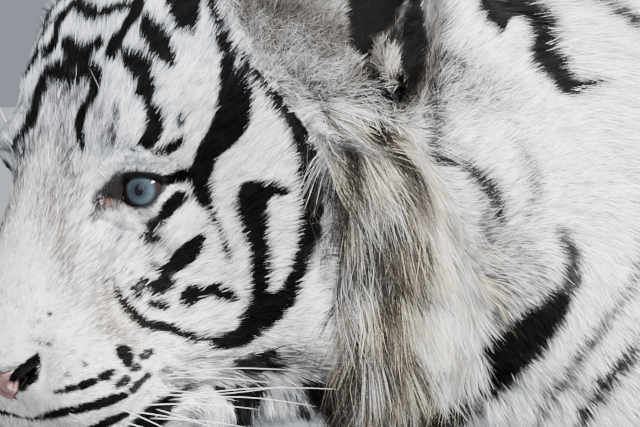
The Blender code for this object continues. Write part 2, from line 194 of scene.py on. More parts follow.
def into_head(points):
    return (points - HEAD_ORIGIN) @ HEAD_AXES


def from_head(points):
    return points @ HEAD_AXES.T + HEAD_ORIGIN


def mirrored(points):
    """The same places on the left side of the head."""
    local = into_head(points)
    local[:, 0] = np.abs(local[:, 0])
    return from_head(local)


VIEW_TURN = HEAD_YAW + CHEEK_TURN
BACK = np.array(
    [
        math.sin(VIEW_TURN) * math.cos(CHEEK_TILT),
        -math.cos(VIEW_TURN) * math.cos(CHEEK_TILT),
        math.sin(CHEEK_TILT),
    ]
)
ACROSS = np.array([math.cos(VIEW_TURN), math.sin(VIEW_TURN), 0.0])
UPWARD = np.cross(BACK, ACROSS)


def eye_middle(side):
    return from_head((EYES_MIDDLE + np.array([EYE_SPREAD, 0, 0])) * np.array([side, 1, 1]))


NEAR_EYE = eye_middle(LEFT)
NEAR_IRIS = NEAR_EYE + HEAD_AXES @ unit(GAZE) * EYE_RADIUS
AIM = NEAR_IRIS + ACROSS * VIEW_SHIFT[0] + UPWARD * VIEW_SHIFT[1]
CAMERA_PLACE = AIM + BACK * VIEW_DISTANCE
VIEW_LOW, VIEW_HIGH = (-84, -142), (300, 114)  # the corners of the view on the cheek plane


def on_cheek_plane(points):
    """Where points stand on the cheek plane: millimetres right of and above the near iris."""
    away = points - CAMERA_PLACE
    depth = -(away @ BACK)
    right = (away @ ACROSS) / depth * VIEW_DISTANCE + VIEW_SHIFT[0]
    up = (away @ UPWARD) / depth * VIEW_DISTANCE + VIEW_SHIFT[1]
    return np.stack([right, up], -1) / MM


def stripe(strength, softness, *spots):
    """One mark: (right, up, half width) of each point along its middle, in millimetres."""
    return strength, softness, np.array(spots)


def darkness(plane, marks):
    """How dark the marks make each place on a plane, from 0 to 1."""
    dark = np.zeros(len(plane))
    for strength, softness, spots in marks:
        reach = spots[:, 2].max() + softness * 3
        low, high = spots[:, :2].min(0) - reach, spots[:, :2].max(0) + reach
        chosen = np.nonzero(((plane > low) & (plane < high)).all(1))[0]
        if not len(chosen):
            continue
        here = plane[chosen]
        best = np.full(len(here), -1e9)
        for start, end in zip(spots[:-1], spots[1:]):
            span = end[:2] - start[:2]
            t = np.clip((here - start[:2]) @ span / max(span @ span, 1e-9), 0, 1)
            away = np.linalg.norm(here - start[:2] - t[:, None] * span, axis=1)
            best = np.maximum(best, start[2] + t * (end[2] - start[2]) - away)
        dark[chosen] = np.maximum(dark[chosen], strength * ramp(best, -softness, softness))
    return dark


# ------------------------------------------------------------ a mesh as arrays


class Surface:
    """A mesh of triangles as arrays."""

    def __init__(self, points, triangles):
        self.points = points
        self.triangles = triangles
        pairs = np.concatenate([triangles[:, [0, 1]], triangles[:, [1, 2]], triangles[:, [2, 0]]])
        pairs = np.unique(np.sort(pairs, axis=1), axis=0)
        source = np.concatenate([pairs[:, 0], pairs[:, 1]])
        target = np.concatenate([pairs[:, 1], pairs[:, 0]])
        order = np.argsort(source, kind="stable")
        self.neighbours = target[order]
        self.starts = np.searchsorted(source[order], np.arange(len(points)))
        self.counts = np.bincount(source, minlength=len(points)).astype(float)

    def face_normals(self):
        a, b, c = (self.points[self.triangles[:, k]] for k in range(3))
        return np.cross(b - a, c - a)

    def normals(self):
        faces = self.face_normals()
        total = np.zeros_like(self.points)
        for corner in range(3):
            for axis in range(3):
                total[:, axis] += np.bincount(
                    self.triangles[:, corner], faces[:, axis], minlength=len(self.points)
                )
        return unit(total)

    def relaxed(self, values, rounds, share=0.5):
        """The values after each has moved towards its neighbours' mean, that many times."""
        flat = values.reshape(len(values), -1).astype(float)
        if np.ndim(share):
            share = share[:, None]
        for _ in range(rounds):
            mean = np.add.reduceat(flat[self.neighbours], self.starts) / self.counts[:, None]
            flat = flat + (mean - flat) * share
        return flat.reshape(values.shape)

    def tree(self):
        return BVHTree.FromPolygons(self.points.tolist(), self.triangles.tolist())


def evaluated(obj):
    """The object's mesh with its modifiers applied. The object itself is removed."""
    graph = bpy.context.evaluated_depsgraph_get()
    mesh = bpy.data.meshes.new_from_object(obj.evaluated_get(graph))
    bpy.data.objects.remove(obj)
    return mesh


def surface_from(bm):
    bmesh.ops.triangulate(bm, faces=bm.faces[:])
    bm.verts.ensure_lookup_table()
    bm.verts.index_update()
    points = np.array([v.co[:] for v in bm.verts])
    triangles = np.array([[v.index for v in face.verts] for face in bm.faces])
    return Surface(points, triangles)


def plain_mesh(name, points, faces):
    mesh = bpy.data.meshes.new(name)
    mesh.from_pydata([tuple(p) for p in points], [], [tuple(f) for f in faces])
    shade_smooth(mesh)
    return placed(name, mesh)


def put_colours(obj, colours):
    """One colour for each corner point, as the Coat attribute that the materials read."""
    layer = obj.data.color_attributes.new("Coat", "FLOAT_COLOR", "POINT")
    rows = np.ones((len(colours), 4), np.float32)
    rows[:, :3] = colours
    layer.data.foreach_set("color", rows.ravel())


# ------------------------------------------------------------ the skin's shape


def all_flesh():
    """Every flesh solid and the eyeballs in one mesh, grown until they run into each other."""
    whole = bmesh.new()
    for name in NODES:
        part = bmesh.new()
        part.from_mesh(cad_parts[name].data)
        bmesh.ops.remove_doubles(part, verts=part.verts, dist=1e-5)
        part.normal_update()
        grow = GROW if name in FLESH else GROW * 2
        for vert in part.verts:
            vert.co += vert.normal * grow
        mesh = bpy.data.meshes.new(name + "_grown")
        part.to_mesh(mesh)
        part.free()
        whole.from_mesh(mesh)
        bpy.data.meshes.remove(mesh)
    mesh = bpy.data.meshes.new("flesh")
    whole.to_mesh(mesh)
    whole.free()
    return placed("flesh", mesh)


def largest_island(bm):
    """Removes everything but the piece with the most corners."""
    left = set(bm.verts)
    islands = []
    while left:
        start = left.pop()
        island, edge = {start}, [start]
        while edge:
            vert = edge.pop()
            for link in vert.link_edges:
                other = link.other_vert(vert)
                if other in left:
                    left.remove(other)
                    island.add(other)
                    edge.append(other)
        islands.append(island)
    islands.sort(key=len)
    spare = [v for island in islands[:-1] for v in island]
    bmesh.ops.delete(bm, geom=spare, context="VERTS")


def refine(bm, wanted):
    """Halves the mesh size wherever wanted(points) is true."""
    bm.verts.index_update()
    points = np.array([v.co[:] for v in bm.verts])
    chosen = wanted(points)
    edges = [e for e in bm.edges if chosen[e.verts[0].index] and chosen[e.verts[1].index]]
    bmesh.ops.subdivide_edges(bm, edges=edges, cuts=1, use_grid_fill=True)


def in_head_zone(points):
    local = into_head(points)
    return (local[:, 1] < 0.225) & (np.linalg.norm(local, axis=1) < 0.33)


def in_face_zone(points):
    local = into_head(points)
    left = (local[:, 0] > -0.03) & (local[:, 1] < 0.14) & (local[:, 2] > -0.145)
    muzzle = (np.abs(local[:, 0]) < 0.1) & (local[:, 1] < 0.03)
    return in_head_zone(points) & (left | muzzle)


def in_toe_zone(points):
    """The fronts of the four paws."""
    found = np.zeros(len(points), bool)
    for name in PAWS:
        low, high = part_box(name)
        inside = (points > np.array(low) - 0.012) & (points < np.array(high) + 0.012)
        found |= inside.all(1) & (points[:, 1] < low.y + 0.055)
    return found


def smooth_skin():
    """The whole animal's outline as one smooth surface."""
    obj = all_flesh()
    remesh = obj.modifiers.new("fuse", "REMESH")
    remesh.mode = "VOXEL"
    remesh.voxel_size = VOXEL
    mesh = evaluated(obj)
    bm = bmesh.new()
    bm.from_mesh(mesh)
    largest_island(bm)
    refine(bm, in_head_zone)
    refine(bm, in_toe_zone)
    refine(bm, in_face_zone)
    refine(bm, in_toe_zone)
    surface = surface_from(bm)
    bm.free()
    head = in_head_zone(surface.points)
    face = in_face_zone(surface.points)
    raw = surface.points.copy()
    surface.points = surface.relaxed(raw, SMOOTH_BODY, np.where(head, 0.0, 0.5))
    surface.points = surface.relaxed(surface.points, SMOOTH_HEAD * 2, np.where(head, 0.5, 0.1))
    surface.points = surface.relaxed(surface.points, SMOOTH_HEAD * 3, np.where(face, 0.5, 0.1))
    normals = surface.normals()
    lost = ((raw - surface.points) * normals).sum(1)
    surface.points = surface.points + normals * surface.relaxed(lost, 30)[:, None]
    surface.points[:, 2] = np.maximum(surface.points[:, 2], FLOOR)
    return surface


# ------------------------------------------------------------ the tail's line


def tail_line(step=0.04):
    """The tail's middle line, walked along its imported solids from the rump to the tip."""
    names = ("tail_base", "tail_middle", "tail_tip")
    cloud = np.concatenate([[v.co[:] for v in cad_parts[n].data.vertices] for n in names])
    low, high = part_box("tail_base")
    place = np.array([(low.x + high.x) / 2, low.y - 0.04, high.z - 0.07])
    way = unit(np.array([0.0, 1.0, -0.2]))
    line = [place]
    for _ in range(60):
        guess = place + way * step
        close = np.linalg.norm(cloud - guess, axis=1) < 0.085
        slab = close & (np.abs((cloud - guess) @ way) < step * 0.9)
        if slab.sum() < 4:
            break
        ring = cloud[slab]
        found = (ring.min(0) + ring.max(0)) / 2
        found = guess + (found - guess) - way * ((found - guess) @ way)
        way = unit(way + unit(found - place) * 0.8)
        place = found
        line.append(place)
    line = np.array(line)
    for _ in range(3):
        line[1:-1] = (line[:-2] + line[1:-1] * 2 + line[2:]) / 4
    return line


def along_line(points, line):
    """How far along a line each point lies, the line's way there, and the nearest place on it."""
    starts, ends = line[:-1], line[1:]
    spans = ends - starts
    lengths = np.linalg.norm(spans, axis=1)
    before = np.concatenate([[0], np.cumsum(lengths)])
    best = np.full(len(points), 1e9)
    place = np.zeros(len(points))
    way = np.zeros((len(points), 3))
    spot = np.zeros((len(points), 3))
    for k, (start, span, length) in enumerate(zip(starts, spans, lengths)):
        t = np.clip((points - start) @ span / length**2, 0, 1)
        foot = start + t[:, None] * span
        distance = np.linalg.norm(points - foot, axis=1)
        closer = distance < best
        best = np.where(closer, distance, best)
        place = np.where(closer, before[k] + t * length, place)
        way[closer] = span / length
        spot[closer] = foot[closer]
    return place, way, spot


# ------------------------------------------------------------ ears


EAR_BASE = np.array([0.100, 0.164, -0.010])  # in the head's frame
EAR_TURN = (math.radians(-28), math.radians(38), math.radians(28))


def ear_axes(side):
    """An ear's own frame in the head's: Z along the ear to its tip, -Y out of its opening."""
    pitch, roll, yaw = EAR_TURN
    return turn_z(side * yaw) @ turn_y(side * roll) @ turn_x(pitch)


def into_ear(points, side):
    base = EAR_BASE * np.array([side, 1, 1])
    return (into_head(points) - base) @ ear_axes(side)


def from_ear(points, side):
    base = EAR_BASE * np.array([side, 1, 1])
    return from_head(points @ ear_axes(side).T + base)


def ear_reach(local):
    """0 in the middle of an ear's opening and 1 at its rim."""
    return np.sqrt((local[:, 0] / 0.043) ** 2 + ((local[:, 2] - 0.062) / 0.053) ** 2)


def hollow_ears(surface):
    """Presses a bowl into the front of each ear."""
    normals = surface.normals()
    for side in SIDES.values():
        local = into_ear(surface.points, side)
        facing = (normals @ HEAD_AXES) @ ear_axes(side)
        inside = (ear_reach(local) < 1) & (facing[:, 1] < 0.35) & (local[:, 1] < 0.012)
        inside &= local[:, 1] > -0.06
        depth = np.where(inside, 0.038 * (1 - ear_reach(local) ** 2), 0)
        depth = np.minimum(depth, np.maximum(0.014 - local[:, 1], 0))
        out = from_ear(np.array([[0.0, 1.0, 0.0]]), side) - from_ear(np.zeros((1, 3)), side)
        surface.points = surface.points + out * depth[:, None]
        ring = (ear_reach(local) < 1.25) & (local[:, 1] < 0.02) & (local[:, 1] > -0.06)
        surface.points = surface.relaxed(surface.points, 3, np.where(ring, 0.4, 0.0))


# on the cheek plane: the ear's canal, the crease before it, its front fold with the white tuft, and
# the hollow behind the fold
EAR_CANAL = (
    stripe(1, 2.5, (139, 124, 18), (138, 108, 16), (135, 96, 12.5), (133, 87, 9.5), (137, 80, 4)),
)
EAR_CREASE = (stripe(1, 2.2, (131, 80, 3), (139, 68, 3.6), (147, 57, 3), (158, 48, 1)),)
EAR_FOLD = (stripe(1, 2.5, (145, 90, 2.5), (147, 82, 4), (149, 73, 4.6), (152, 64, 4), (156, 57, 2)),)
EAR_BACK = (
    stripe(1, 4, (166, 118, 4), (165, 102, 7), (164, 88, 10), (163, 75, 10), (160, 64, 7), (161, 56, 3)),
)
EAR_BEHIND_TINT = stripe(0.9, 7, (180, 124, 8), (180, 104, 9), (177, 84, 9), (172, 64, 7), (164, 50, 5))
# grey fur round the canal and brown fur behind the hollow
EAR_TINTS = (
    ((0.040, 0.034, 0.030), (stripe(1, 4, (170, 74, 6), (165, 61, 6), (156, 52, 3)),)),
    ((0.014, 0.013, 0.012), (stripe(1, 3.5, (152, 124, 9), (151, 110, 9), (149, 98, 8), (153, 88, 4)),)),
    ((0.048, 0.040, 0.034), (EAR_BEHIND_TINT,)),
)


def ear_front(points):
    """How much each place belongs to the ear's canal, crease, front fold and hollow behind it."""
    local = into_head(points)
    plane = on_cheek_plane(mirrored(points))
    zone = ramp(local[:, 1], 0.10, 0.12) * ramp(np.abs(local[:, 0]), 0.04, 0.06)
    fold = darkness(plane, EAR_FOLD) * zone
    canal = darkness(plane, EAR_CANAL) * zone * (1 - fold)
    crease = darkness(plane, EAR_CREASE) * zone * (1 - fold)
    back = darkness(plane, EAR_BACK) * zone * (1 - fold)
    return canal, crease, fold, back


def shape_ear_fronts(surface):
    canal, crease, fold, back = ear_front(surface.points)
    local = into_head(surface.points)
    away = (BACK @ HEAD_AXES)[None] * np.stack([np.sign(local[:, 0]), *np.ones((2, len(local)))], -1)
    facing = ((surface.normals() @ HEAD_AXES) * away).sum(1)
    rise = 0.007 * fold - 0.022 * canal - 0.006 * crease - 0.011 * back
    rise = surface.relaxed(rise * ramp(facing, 0.0, 0.3), 2)
    surface.points = surface.points + (away @ HEAD_AXES.T) * rise[:, None]


# ------------------------------------------------------------ the face's forms


LIP_LINE = np.array(
    [
        [0.000, -0.125, -0.094],
        [0.024, -0.124, -0.104],
        [0.048, -0.108, -0.107],
        [0.068, -0.080, -0.107],
        [0.078, -0.050, -0.110],
        [0.082, -0.030, -0.118],
    ]
)


def press(surface, share, amount):
    """Moves the surface out by amount, or in where it is negative, times each corner's share."""
    surface.points = surface.points + surface.normals() * (share * amount)[:, None]


def distance_to_line(points, line):
    _, _, foot = along_line(points, line)
    return np.linalg.norm(points - foot, axis=1)


BOTH_SIDES = (1, 1)
# the face's smaller forms: middle and reach in the head's frame, how far out, and the share of it
# that the left and the right side get
FACE_FORMS = (
    ((0.020, -0.040, 0.002), (0.012, 0.035, 0.014), -0.0020, BOTH_SIDES),  # beside the bridge
    ((0.036, -0.022, -0.020), (0.012, 0.014, 0.012), -0.0035, BOTH_SIDES),  # before the eye
    ((0.052, -0.012, -0.034), (0.018, 0.014, 0.012), 0.0025, BOTH_SIDES),  # below the eye
    ((0.064, -0.003, 0.031), (0.026, 0.020, 0.014), -0.0070, (1, 0.15)),  # the brow
    ((0.078, 0.052, 0.062), (0.018, 0.024, 0.020), -0.0050, BOTH_SIDES),  # the side of the crown
    ((0.050, -0.006, 0.034), (0.016, 0.020, 0.014), 0.0040, (0, 1)),  # the far brow stands out
    ((0.0, 0.030, 0.068), (0.012, 0.050, 0.030), -0.0025, BOTH_SIDES),  # the middle of the forehead
    ((0.034, -0.114, -0.046), (0.010, 0.016, 0.014), -0.0055, BOTH_SIDES),  # behind the nostril
    ((0.046, -0.110, -0.080), (0.022, 0.026, 0.020), 0.0020, BOTH_SIDES),  # the whisker pad
    ((0.008, -0.134, -0.104), (0.036, 0.020, 0.022), -0.0080, BOTH_SIDES),  # the front of the lips
)


def shape_face(surface):
    """The line of the lips with the upper lip over it, the groove below the nose, and the face's forms."""
    local = into_head(surface.points)
    left = ramp(local[:, 0], -0.02, 0.02)
    local[:, 0] = np.abs(local[:, 0])
    lips = distance_to_line(local, LIP_LINE)
    press(surface, np.exp(-((lips / 0.0035) ** 2)), -0.005)
    above = local[:, 2] > np.interp(-local[:, 1], -LIP_LINE[::-1, 1], LIP_LINE[::-1, 2])
    press(surface, np.exp(-(((lips - 0.009) / 0.006) ** 2)) * above, 0.0015)
    philtrum = np.exp(-((local[:, 0] / 0.0028) ** 2)) * ramp(-local[:, 1], 0.095, 0.11)
    philtrum *= ramp(local[:, 2], -0.100, -0.092) * ramp(-local[:, 2], 0.060, 0.066)
    press(surface, philtrum, -0.004)
    for middle, reach, out, (left_share, right_share) in FACE_FORMS:
        share = right_share + (left_share - right_share) * left
        press(surface, near(local, middle, reach) * share, out)


# the ruff's front and back edges from the top down, on the cheek plane
RUFF_EDGE = np.array(
    [(39, 150), (43.5, 114), (52, 94), (66, 75), (82, 55), (103, 28), (109, 1), (103.5, -36)]
    + [(106, -66), (114, -96), (116, -114), (106, -130), (92, -150), (76, -200)]
)
RUFF_BACK = np.array(
    [(150, 90), (158, 66), (163, 44), (176, 20), (187, -6), (197, -30), (205, -60), (200, -90)]
    + [(190, -120), (160, -160), (150, -220)]
)


def before_ruff_back(plane):
    """How far before the ruff's back edge a place on the cheek plane is, in millimetres."""
    return np.interp(-plane[:, 1], -RUFF_BACK[:, 1], RUFF_BACK[:, 0]) - plane[:, 0]


def ruff_depth(plane):
    """How far behind the ruff's front edge a place on the cheek plane is, in millimetres."""
    return plane[:, 0] - np.interp(-plane[:, 1], -RUFF_EDGE[:, 1], RUFF_EDGE[:, 0])


def shape_ruff(surface):
    """A groove along the ruff's front edge, with the ruff standing up behind it."""
    plane = on_cheek_plane(mirrored(surface.points))
    local = into_head(surface.points)
    behind = ruff_depth(plane)
    zone = ramp(0.20 - local[:, 1], 0.0, 0.05) * ramp(local[:, 1], 0.0, 0.04)
    zone = zone * ramp(plane[:, 1], -190, -150) * ramp(-plane[:, 1], -90, -60)
    press(surface, zone * np.exp(-(((behind + 2) / 8) ** 2)), -0.005)
    press(surface, zone * np.exp(-(((behind - 22) / 18) ** 2)), 0.006)


TOE_SPACING = 0.215  # as a share of the paw's width
PAW_MARGIN = 0.02


def toe_places(points, name):
    """Across the paw in toes (whole numbers lie between two toes), and the share of a toe's front."""
    low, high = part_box(name)
    right = points[:, 0]
    across = (right - (low.x + high.x) / 2) / ((high.x - low.x) * TOE_SPACING)
    fore = points[:, 1] - low.y - 0.003 * across**2
    zone = in_toe_zone(points) & (np.abs(across) < 2.6)
    zone &= (right > low.x - PAW_MARGIN) & (right < high.x + PAW_MARGIN)
    return across, ramp(0.052 - fore, 0.0, 0.026) * zone * ramp(points[:, 2], 0.003, 0.012)


def toe_grooves(points):
    """1 between two toes, 0 away from there; and the toes' own swell."""
    groove, swell = np.zeros(len(points)), np.zeros(len(points))
    for name in PAWS:
        across, share = toe_places(points, name)
        between = across - np.clip(np.round(across), -1, 1)
        groove = np.maximum(groove, share * np.exp(-((between / 0.17) ** 2)))
        crest = np.exp(-(((np.abs(between) - 0.5) / 0.30) ** 2)) * (np.abs(across) < 2)
        swell = np.maximum(swell, share * crest)
    return groove, swell


def shape_toes(surface):
    groove, swell = toe_grooves(surface.points)
    press(surface, groove, -0.0085)
    press(surface, swell, 0.0020)


# ------------------------------------------------------------ markings


WHITE = np.array([0.90, 0.897, 0.89])
DARK = np.array([0.0030, 0.0026, 0.0024])
CREAM = np.array([0.74, 0.67, 0.55])
GRIZZLE = np.array([0.085, 0.072, 0.062])
# painted light: the blue that the sky above casts on the top of the head
CROWN_SKY_TINT = np.array([0.71, 0.745, 0.80])
SNOUT_CREAM = np.array([0.89, 0.86, 0.81])
BRIDGE_BEIGE = np.array([0.64, 0.59, 0.55])
CHEEK_TAN = np.array([0.68, 0.58, 0.49])
# the ruff's brown fur and painted shade in its hollows
RUFF_BROWN_AND_SHADE = np.array([0.10, 0.08, 0.065])
# painted shadow in the grooves between the toes
TOE_GROOVE_SHADE = np.array([0.10, 0.085, 0.075])
TUFT_CREAM = np.array([0.50, 0.47, 0.41])
# painted shade: the dark that shows between long hairs
UNDER_HAIR_SHADE = np.array([0.045, 0.038, 0.032])  # what shows between long hairs
LID_RIM = np.array([0.016, 0.014, 0.014])
LID_CORNER = np.array([0.015, 0.012, 0.011])
LID_PINK = np.array([0.24, 0.12, 0.105])
IRIS_INNER = np.array([0.014, 0.021, 0.028])
IRIS_OUTER = np.array([0.036, 0.048, 0.056])
IRIS_EDGE = np.array([0.016, 0.022, 0.028])
EYE_WHITE = np.array([0.013, 0.008, 0.0075])  # in the shade of the lids
PUPIL = np.array([0.004, 0.004, 0.005])
NOSE_PALE = np.array([0.30, 0.165, 0.15])
NOSE_DEEP = np.array([0.16, 0.09, 0.082])
# painted shade inside the nostrils
NOSTRIL_SHADE = np.array([0.004, 0.0035, 0.0035])


# Marks of the left side of the head and neck, on the cheek plane, with the half width at each point.
# A helper script scaled them to millimetres, widened them, darkened the fainter ones and wrote them
# out. The points were traced over the photo in its pixels, then scaled to millimetres and widened,
# and the fainter ones darkened.


def black(*spots):
    """A black mark of the short fur, with a crisp edge."""
    return stripe(1, 0.8, *spots)


FOREHEAD_MARKS = (
    # the broad bar over the eye, down from the crown
    black(
        (29.5, 138, 7), (29.5, 126, 10), (26.5, 114, 11.2), (27.5, 105, 9.4), (31.5, 96.5, 3.4)),
    # bars that step down the forehead before it, the last running on towards the eye
    black((5, 103, 3.4), (8.5, 94, 8.2), (14.5, 84, 8.2), (19.5, 75, 3.4)),
    black((-8, 83.5, 3.4), (-2, 77, 8.2), (3.5, 68.5, 7.6), (5.5, 61, 5.2)),
    black(
        (-2, 60, 1.6), (5, 54, 4), (9.5, 45.5, 5.8), (8.5, 35.5, 5.8), (2.5, 27, 4), (-7, 23, 1.6)),
    # the line over the upper lid
    black((1.5, 21.5, 1.3), (11.5, 23.5, 3.4), (20, 27, 4), (25.5, 30.5, 2.8)),
    # the long line up the edge of the bridge, and the faint ones beside it
    black(
        (-33.5, 24.5, 1.6), (-35.5, 32, 3), (-36.5, 38.5, 2.9), (-34, 46, 2.5), (-29.5, 53, 2.5),
        (-26, 59.5, 2.9), (-25, 67, 3.4), (-25.5, 73, 3.4)),
    stripe(0.25, 1.5, (-13, 54, 1.6), (-14, 42.5, 3.4), (-16, 32, 2.8)),
    stripe(0.6, 0.9, (-16, 34, 1.4), (-16, 29.5, 1.6)),
    # the arches of the forehead
    black((-49.5, 90.5, 1.9), (-34.5, 101.5, 4.1), (-18.5, 107, 4), (-4.5, 111.5, 3.1)),
    black((-38.5, 110.5, 1.3), (-30.5, 113.5, 2.8), (-20.5, 119, 2.8), (-12.5, 126, 2.8)),
    black((-56.5, 75.5, 1.6), (-50.5, 81.5, 3.4), (-45.5, 86.5, 4.2), (-40.5, 88, 4)),
    black((-38, 84, 4.2), (-31.5, 83, 4.2), (-26, 86.5, 4), (-23, 90, 3.4)),
    black(
        (-8.5, 95.5, 2.5), (-4, 102, 4), (-1, 108.5, 4.3), (1.5, 114, 3.7), (3.5, 123.5, 2.8)),
    black((-17, 80.5, 4.2), (-14.5, 86.5, 4.2), (-11, 93.5, 3.4)),
    stripe(1, 0.9,
        (-47, 69, 3.7), (-45.5, 74, 4.2), (-39.5, 76, 4), (-33.5, 76, 4), (-28, 74, 4.2),
        (-25, 68.5, 4)),
    stripe(0.4, 1.2, (-53, 56.5, 2.5), (-48.5, 58, 3.1), (-42.5, 60, 2.8)),
    stripe(1, 0.9, (-41.5, 66, 3.1), (-36.5, 67.5, 4), (-30.5, 69.5, 3.7)),
    # small marks: by the broad bar, on the bridge and behind the crown's bar
    black((24.5, 46, 1.6), (25, 41.5, 3.1), (23.5, 38, 1.3)),
    stripe(0.6, 0.6, (-41.5, 24, 1.8), (-41.5, 23.5, 1.8)),
    stripe(0.5, 0.6, (-36.5, 9.5, 1.5), (-36, 9, 1.5)),
    black((44, 92.5, 1.6), (49, 86.5, 3.4), (54.5, 78, 2.8)),
)
EYE_MARKS = (
    # the broad mark behind the eye, from below the ear down to the cheek
    stripe(1, 0.9,
        (52, 75.5, 4), (56, 67, 8.8), (58, 56, 11.2), (55.5, 43, 11.2), (50.5, 33.5, 9.4),
        (44, 27.5, 7.6), (40, 20.5, 7), (37.5, 11, 7), (37.5, 2.5, 6.4), (40.5, -6, 4),
        (44.5, -15.5, 2.8), (49.5, -26.5, 1.6), (53, -35, 2.9), (54.5, -42, 1.6)),
    # its branch forward to the corner of the eye, and the dashes that step down below it
    black((37.5, 8.5, 6.4), (29.5, 8.5, 5.2), (21.5, 7, 3.7), (14, 5.5, 3.1), (8.5, 4, 1.6)),
    black((26.5, -3.5, 2.8), (21.5, -6.5, 5.2), (15.5, -11, 5.2), (10.5, -15.5, 3.1)),
    stripe(0.85, 1.1, (9.5, -17.5, 3.1), (4, -21.5, 4.2), (5.5, -26, 4), (10.5, -29.5, 2.8)),
    # the slanting bar below the eye, and the short marks under it
    stripe(1, 0.9,
        (38, -27.5, 2.8), (34, -33, 5.8), (28, -39, 6.4), (21.5, -44.5, 5.2), (16.5, -47.5, 2.8)),
    black((5.5, -41.5, 1.3), (11.5, -47.5, 2.9), (19.5, -53.5, 3.2)),
    black((2, -55, 3.7), (7.5, -58, 4.1), (12.5, -60.5, 3.4)),
    black((13, -53.5, 3.1), (19.5, -57.5, 3.5)),
    black((-5.5, -56.5, 1.9), (-0.5, -63, 3.1)),
    black((6.5, -68, 2.9), (14.5, -69.5, 3.4)),
    stripe(0.6, 0.8, (-8, -48, 1.2), (-2.5, -51.5, 1.6)),
    stripe(0.75, 0.8, (25, -3.5, 1.3), (33.5, -3.5, 1.7), (38, -8.5, 1.3)),
    # a soft dark mark before the eye, and painted shadow below it
    stripe(0.55, 1.8, (-20, -9.5, 2.8), (-25.5, -12.5, 4), (-29, -17.5, 2.8)),
    stripe(0.35, 1.5, (-1.5, -18.5, 1.6), (3.5, -23.5, 2.8), (0.5, -29, 1.3)),
)
CHEEK_MARKS = (
    # the long line from the crown, round behind the cheek and forward under it
    stripe(1, 0.9,
        (38.5, 138, 2.8), (40.5, 122.5, 3.4), (44, 110.5, 3.7), (48.5, 98.5, 3.7), (56, 86.5, 2.8),
        (65, 75.5, 3.4), (73, 65, 3.4), (81.5, 55, 5.2), (89.5, 44, 5.2), (97, 31, 5.8), (101.5, 18, 7),
        (103.5, 3, 7.6), (103.5, -11, 7.6), (101.5, -25, 7), (98, -39, 5.8), (94.5, -51, 5.5),
        (89.5, -62, 6.4), (82.5, -71, 7), (74, -78, 7)),
    # the bar within it, down the middle of the cheek, and its top
    stripe(1, 0.9,
        (62, 0, 3.4), (68, -5.5, 10.6), (68, -14, 10), (70.5, -27.5, 7.6), (73, -39, 7),
        (73.5, -51, 6.4), (73.5, -61, 7), (73.5, -71, 8.8), (70, -79, 8.2), (63.5, -86, 7),
        (55, -90, 5.2), (46.5, -92, 3.4), (38, -89, 1.6)),
    stripe(1, 0.9, (64, 0, 5.2), (73, 1, 6.4), (80.5, 1, 5.2), (88, 0, 2.8)),
    # the crooked bar on the cheek's front
    stripe(1, 0.9, (27.5, -68, 3.4), (29.5, -63.5, 6.4), (35.5, -61, 5.2), (40, -60, 2.8)),
    black((40, -60, 2.5), (47, -60, 5.5), (53, -62, 4.3), (58.5, -64, 2.5)),
    # the line along the whisker pad's upper edge
    black(
        (-16, -54.5, 1.5), (-13, -62, 2.8), (-8, -69.5, 3.7), (0.5, -78.5, 3.8), (7.5, -81.5, 3.2),
        (16, -82, 3.1), (24.5, -84.5, 3.4), (32.5, -89, 3.7)),
    # soft marks below the cheek and on the jaw, with painted shadow under the back of the cheek
    stripe(0.75, 1.1, (63.5, -106, 2.5), (73, -102, 5.2), (82.5, -97, 2.8)),
    stripe(0.75, 1.8, (59.5, -104.5, 3.4), (73, -105.5, 5.2), (86, -105.5, 3.4)),
    stripe(1, 1.8, (51.5, -120.5, 2.8), (58.5, -123.5, 6.4), (67, -122, 6.4), (74, -116.5, 4)),
    stripe(0.75, 1.8, (59.5, -128.5, 4), (63.5, -137, 5.8), (64.5, -146.5, 6.4)),
    stripe(0.75, 1.8, (99.5, -127, 4), (100.5, -137, 6.4), (100.5, -150, 7)),
    # painted shadow under the back of the cheek
    stripe(1, 2.1, (104, -116.5, 4), (111.5, -121, 7.6), (118.5, -127, 7.6), (125.5, -128.5, 6.4)),
    stripe(0.45, 2.4, (15.5, -109, 4), (26, -114.5, 6.4), (35, -120, 3.4)),
    stripe(0.85, 1.8, (-2.5, -147.5, 7), (5.5, -138, 7.6), (15.5, -130, 6.4), (22, -123.5, 3.4)),
    stripe(0.35, 1.2, (33.5, -86, 2.8), (43, -89, 3.4), (51.5, -84, 1.6)),
)
# the rows of marks under the nose and along the lip: how dark, then the points
LIP_ROWS = (
    (0.75, (0.5, -100, 2.5), (4.5, -98, 2.9), (8, -96.5, 1.8)),
    (0.75, (-5, -108, 1.8), (-1.5, -106, 2.8)),
    (0.75, (-13.5, -117, 2.5), (-8.5, -114, 3.4)),
    (1, (-23.5, -112, 2.6), (-19.5, -111, 3.4), (-15.5, -108.5, 1.6)),
    (0.75, (1, -114.5, 1.8), (5, -111, 2.5)),
    (0.75, (-5, -120.5, 2.5), (-1, -116.5, 2.6)),
    (0.75, (-50, -121, 1.5), (-46, -120.5, 1.8)),
    (0.85, (-43, -119.5, 2.6), (-38.5, -118, 2.6)),
    (1, (-34.5, -117, 3), (-28, -115, 2.5)),
    (0.85, (-62.5, -137, 1.3), (-53, -135, 2.6), (-41, -132, 2.8)),
    (1, (-37.5, -131.5, 3), (-29, -129.5, 2.8)),
    (1, (-25, -128.5, 3.4), (-18.5, -126, 3.1), (-9.5, -123, 2.5)),
    (0.85, (-42.5, -150, 1.6), (-33.5, -146, 2.5), (-25.5, -142, 2.8), (-17, -138, 2.8), (-7, -134, 1.8)),
    (0.75, (-18.5, -150.5, 2.5), (-8.5, -146.5, 2.8), (1, -140.5, 1.9)),
)
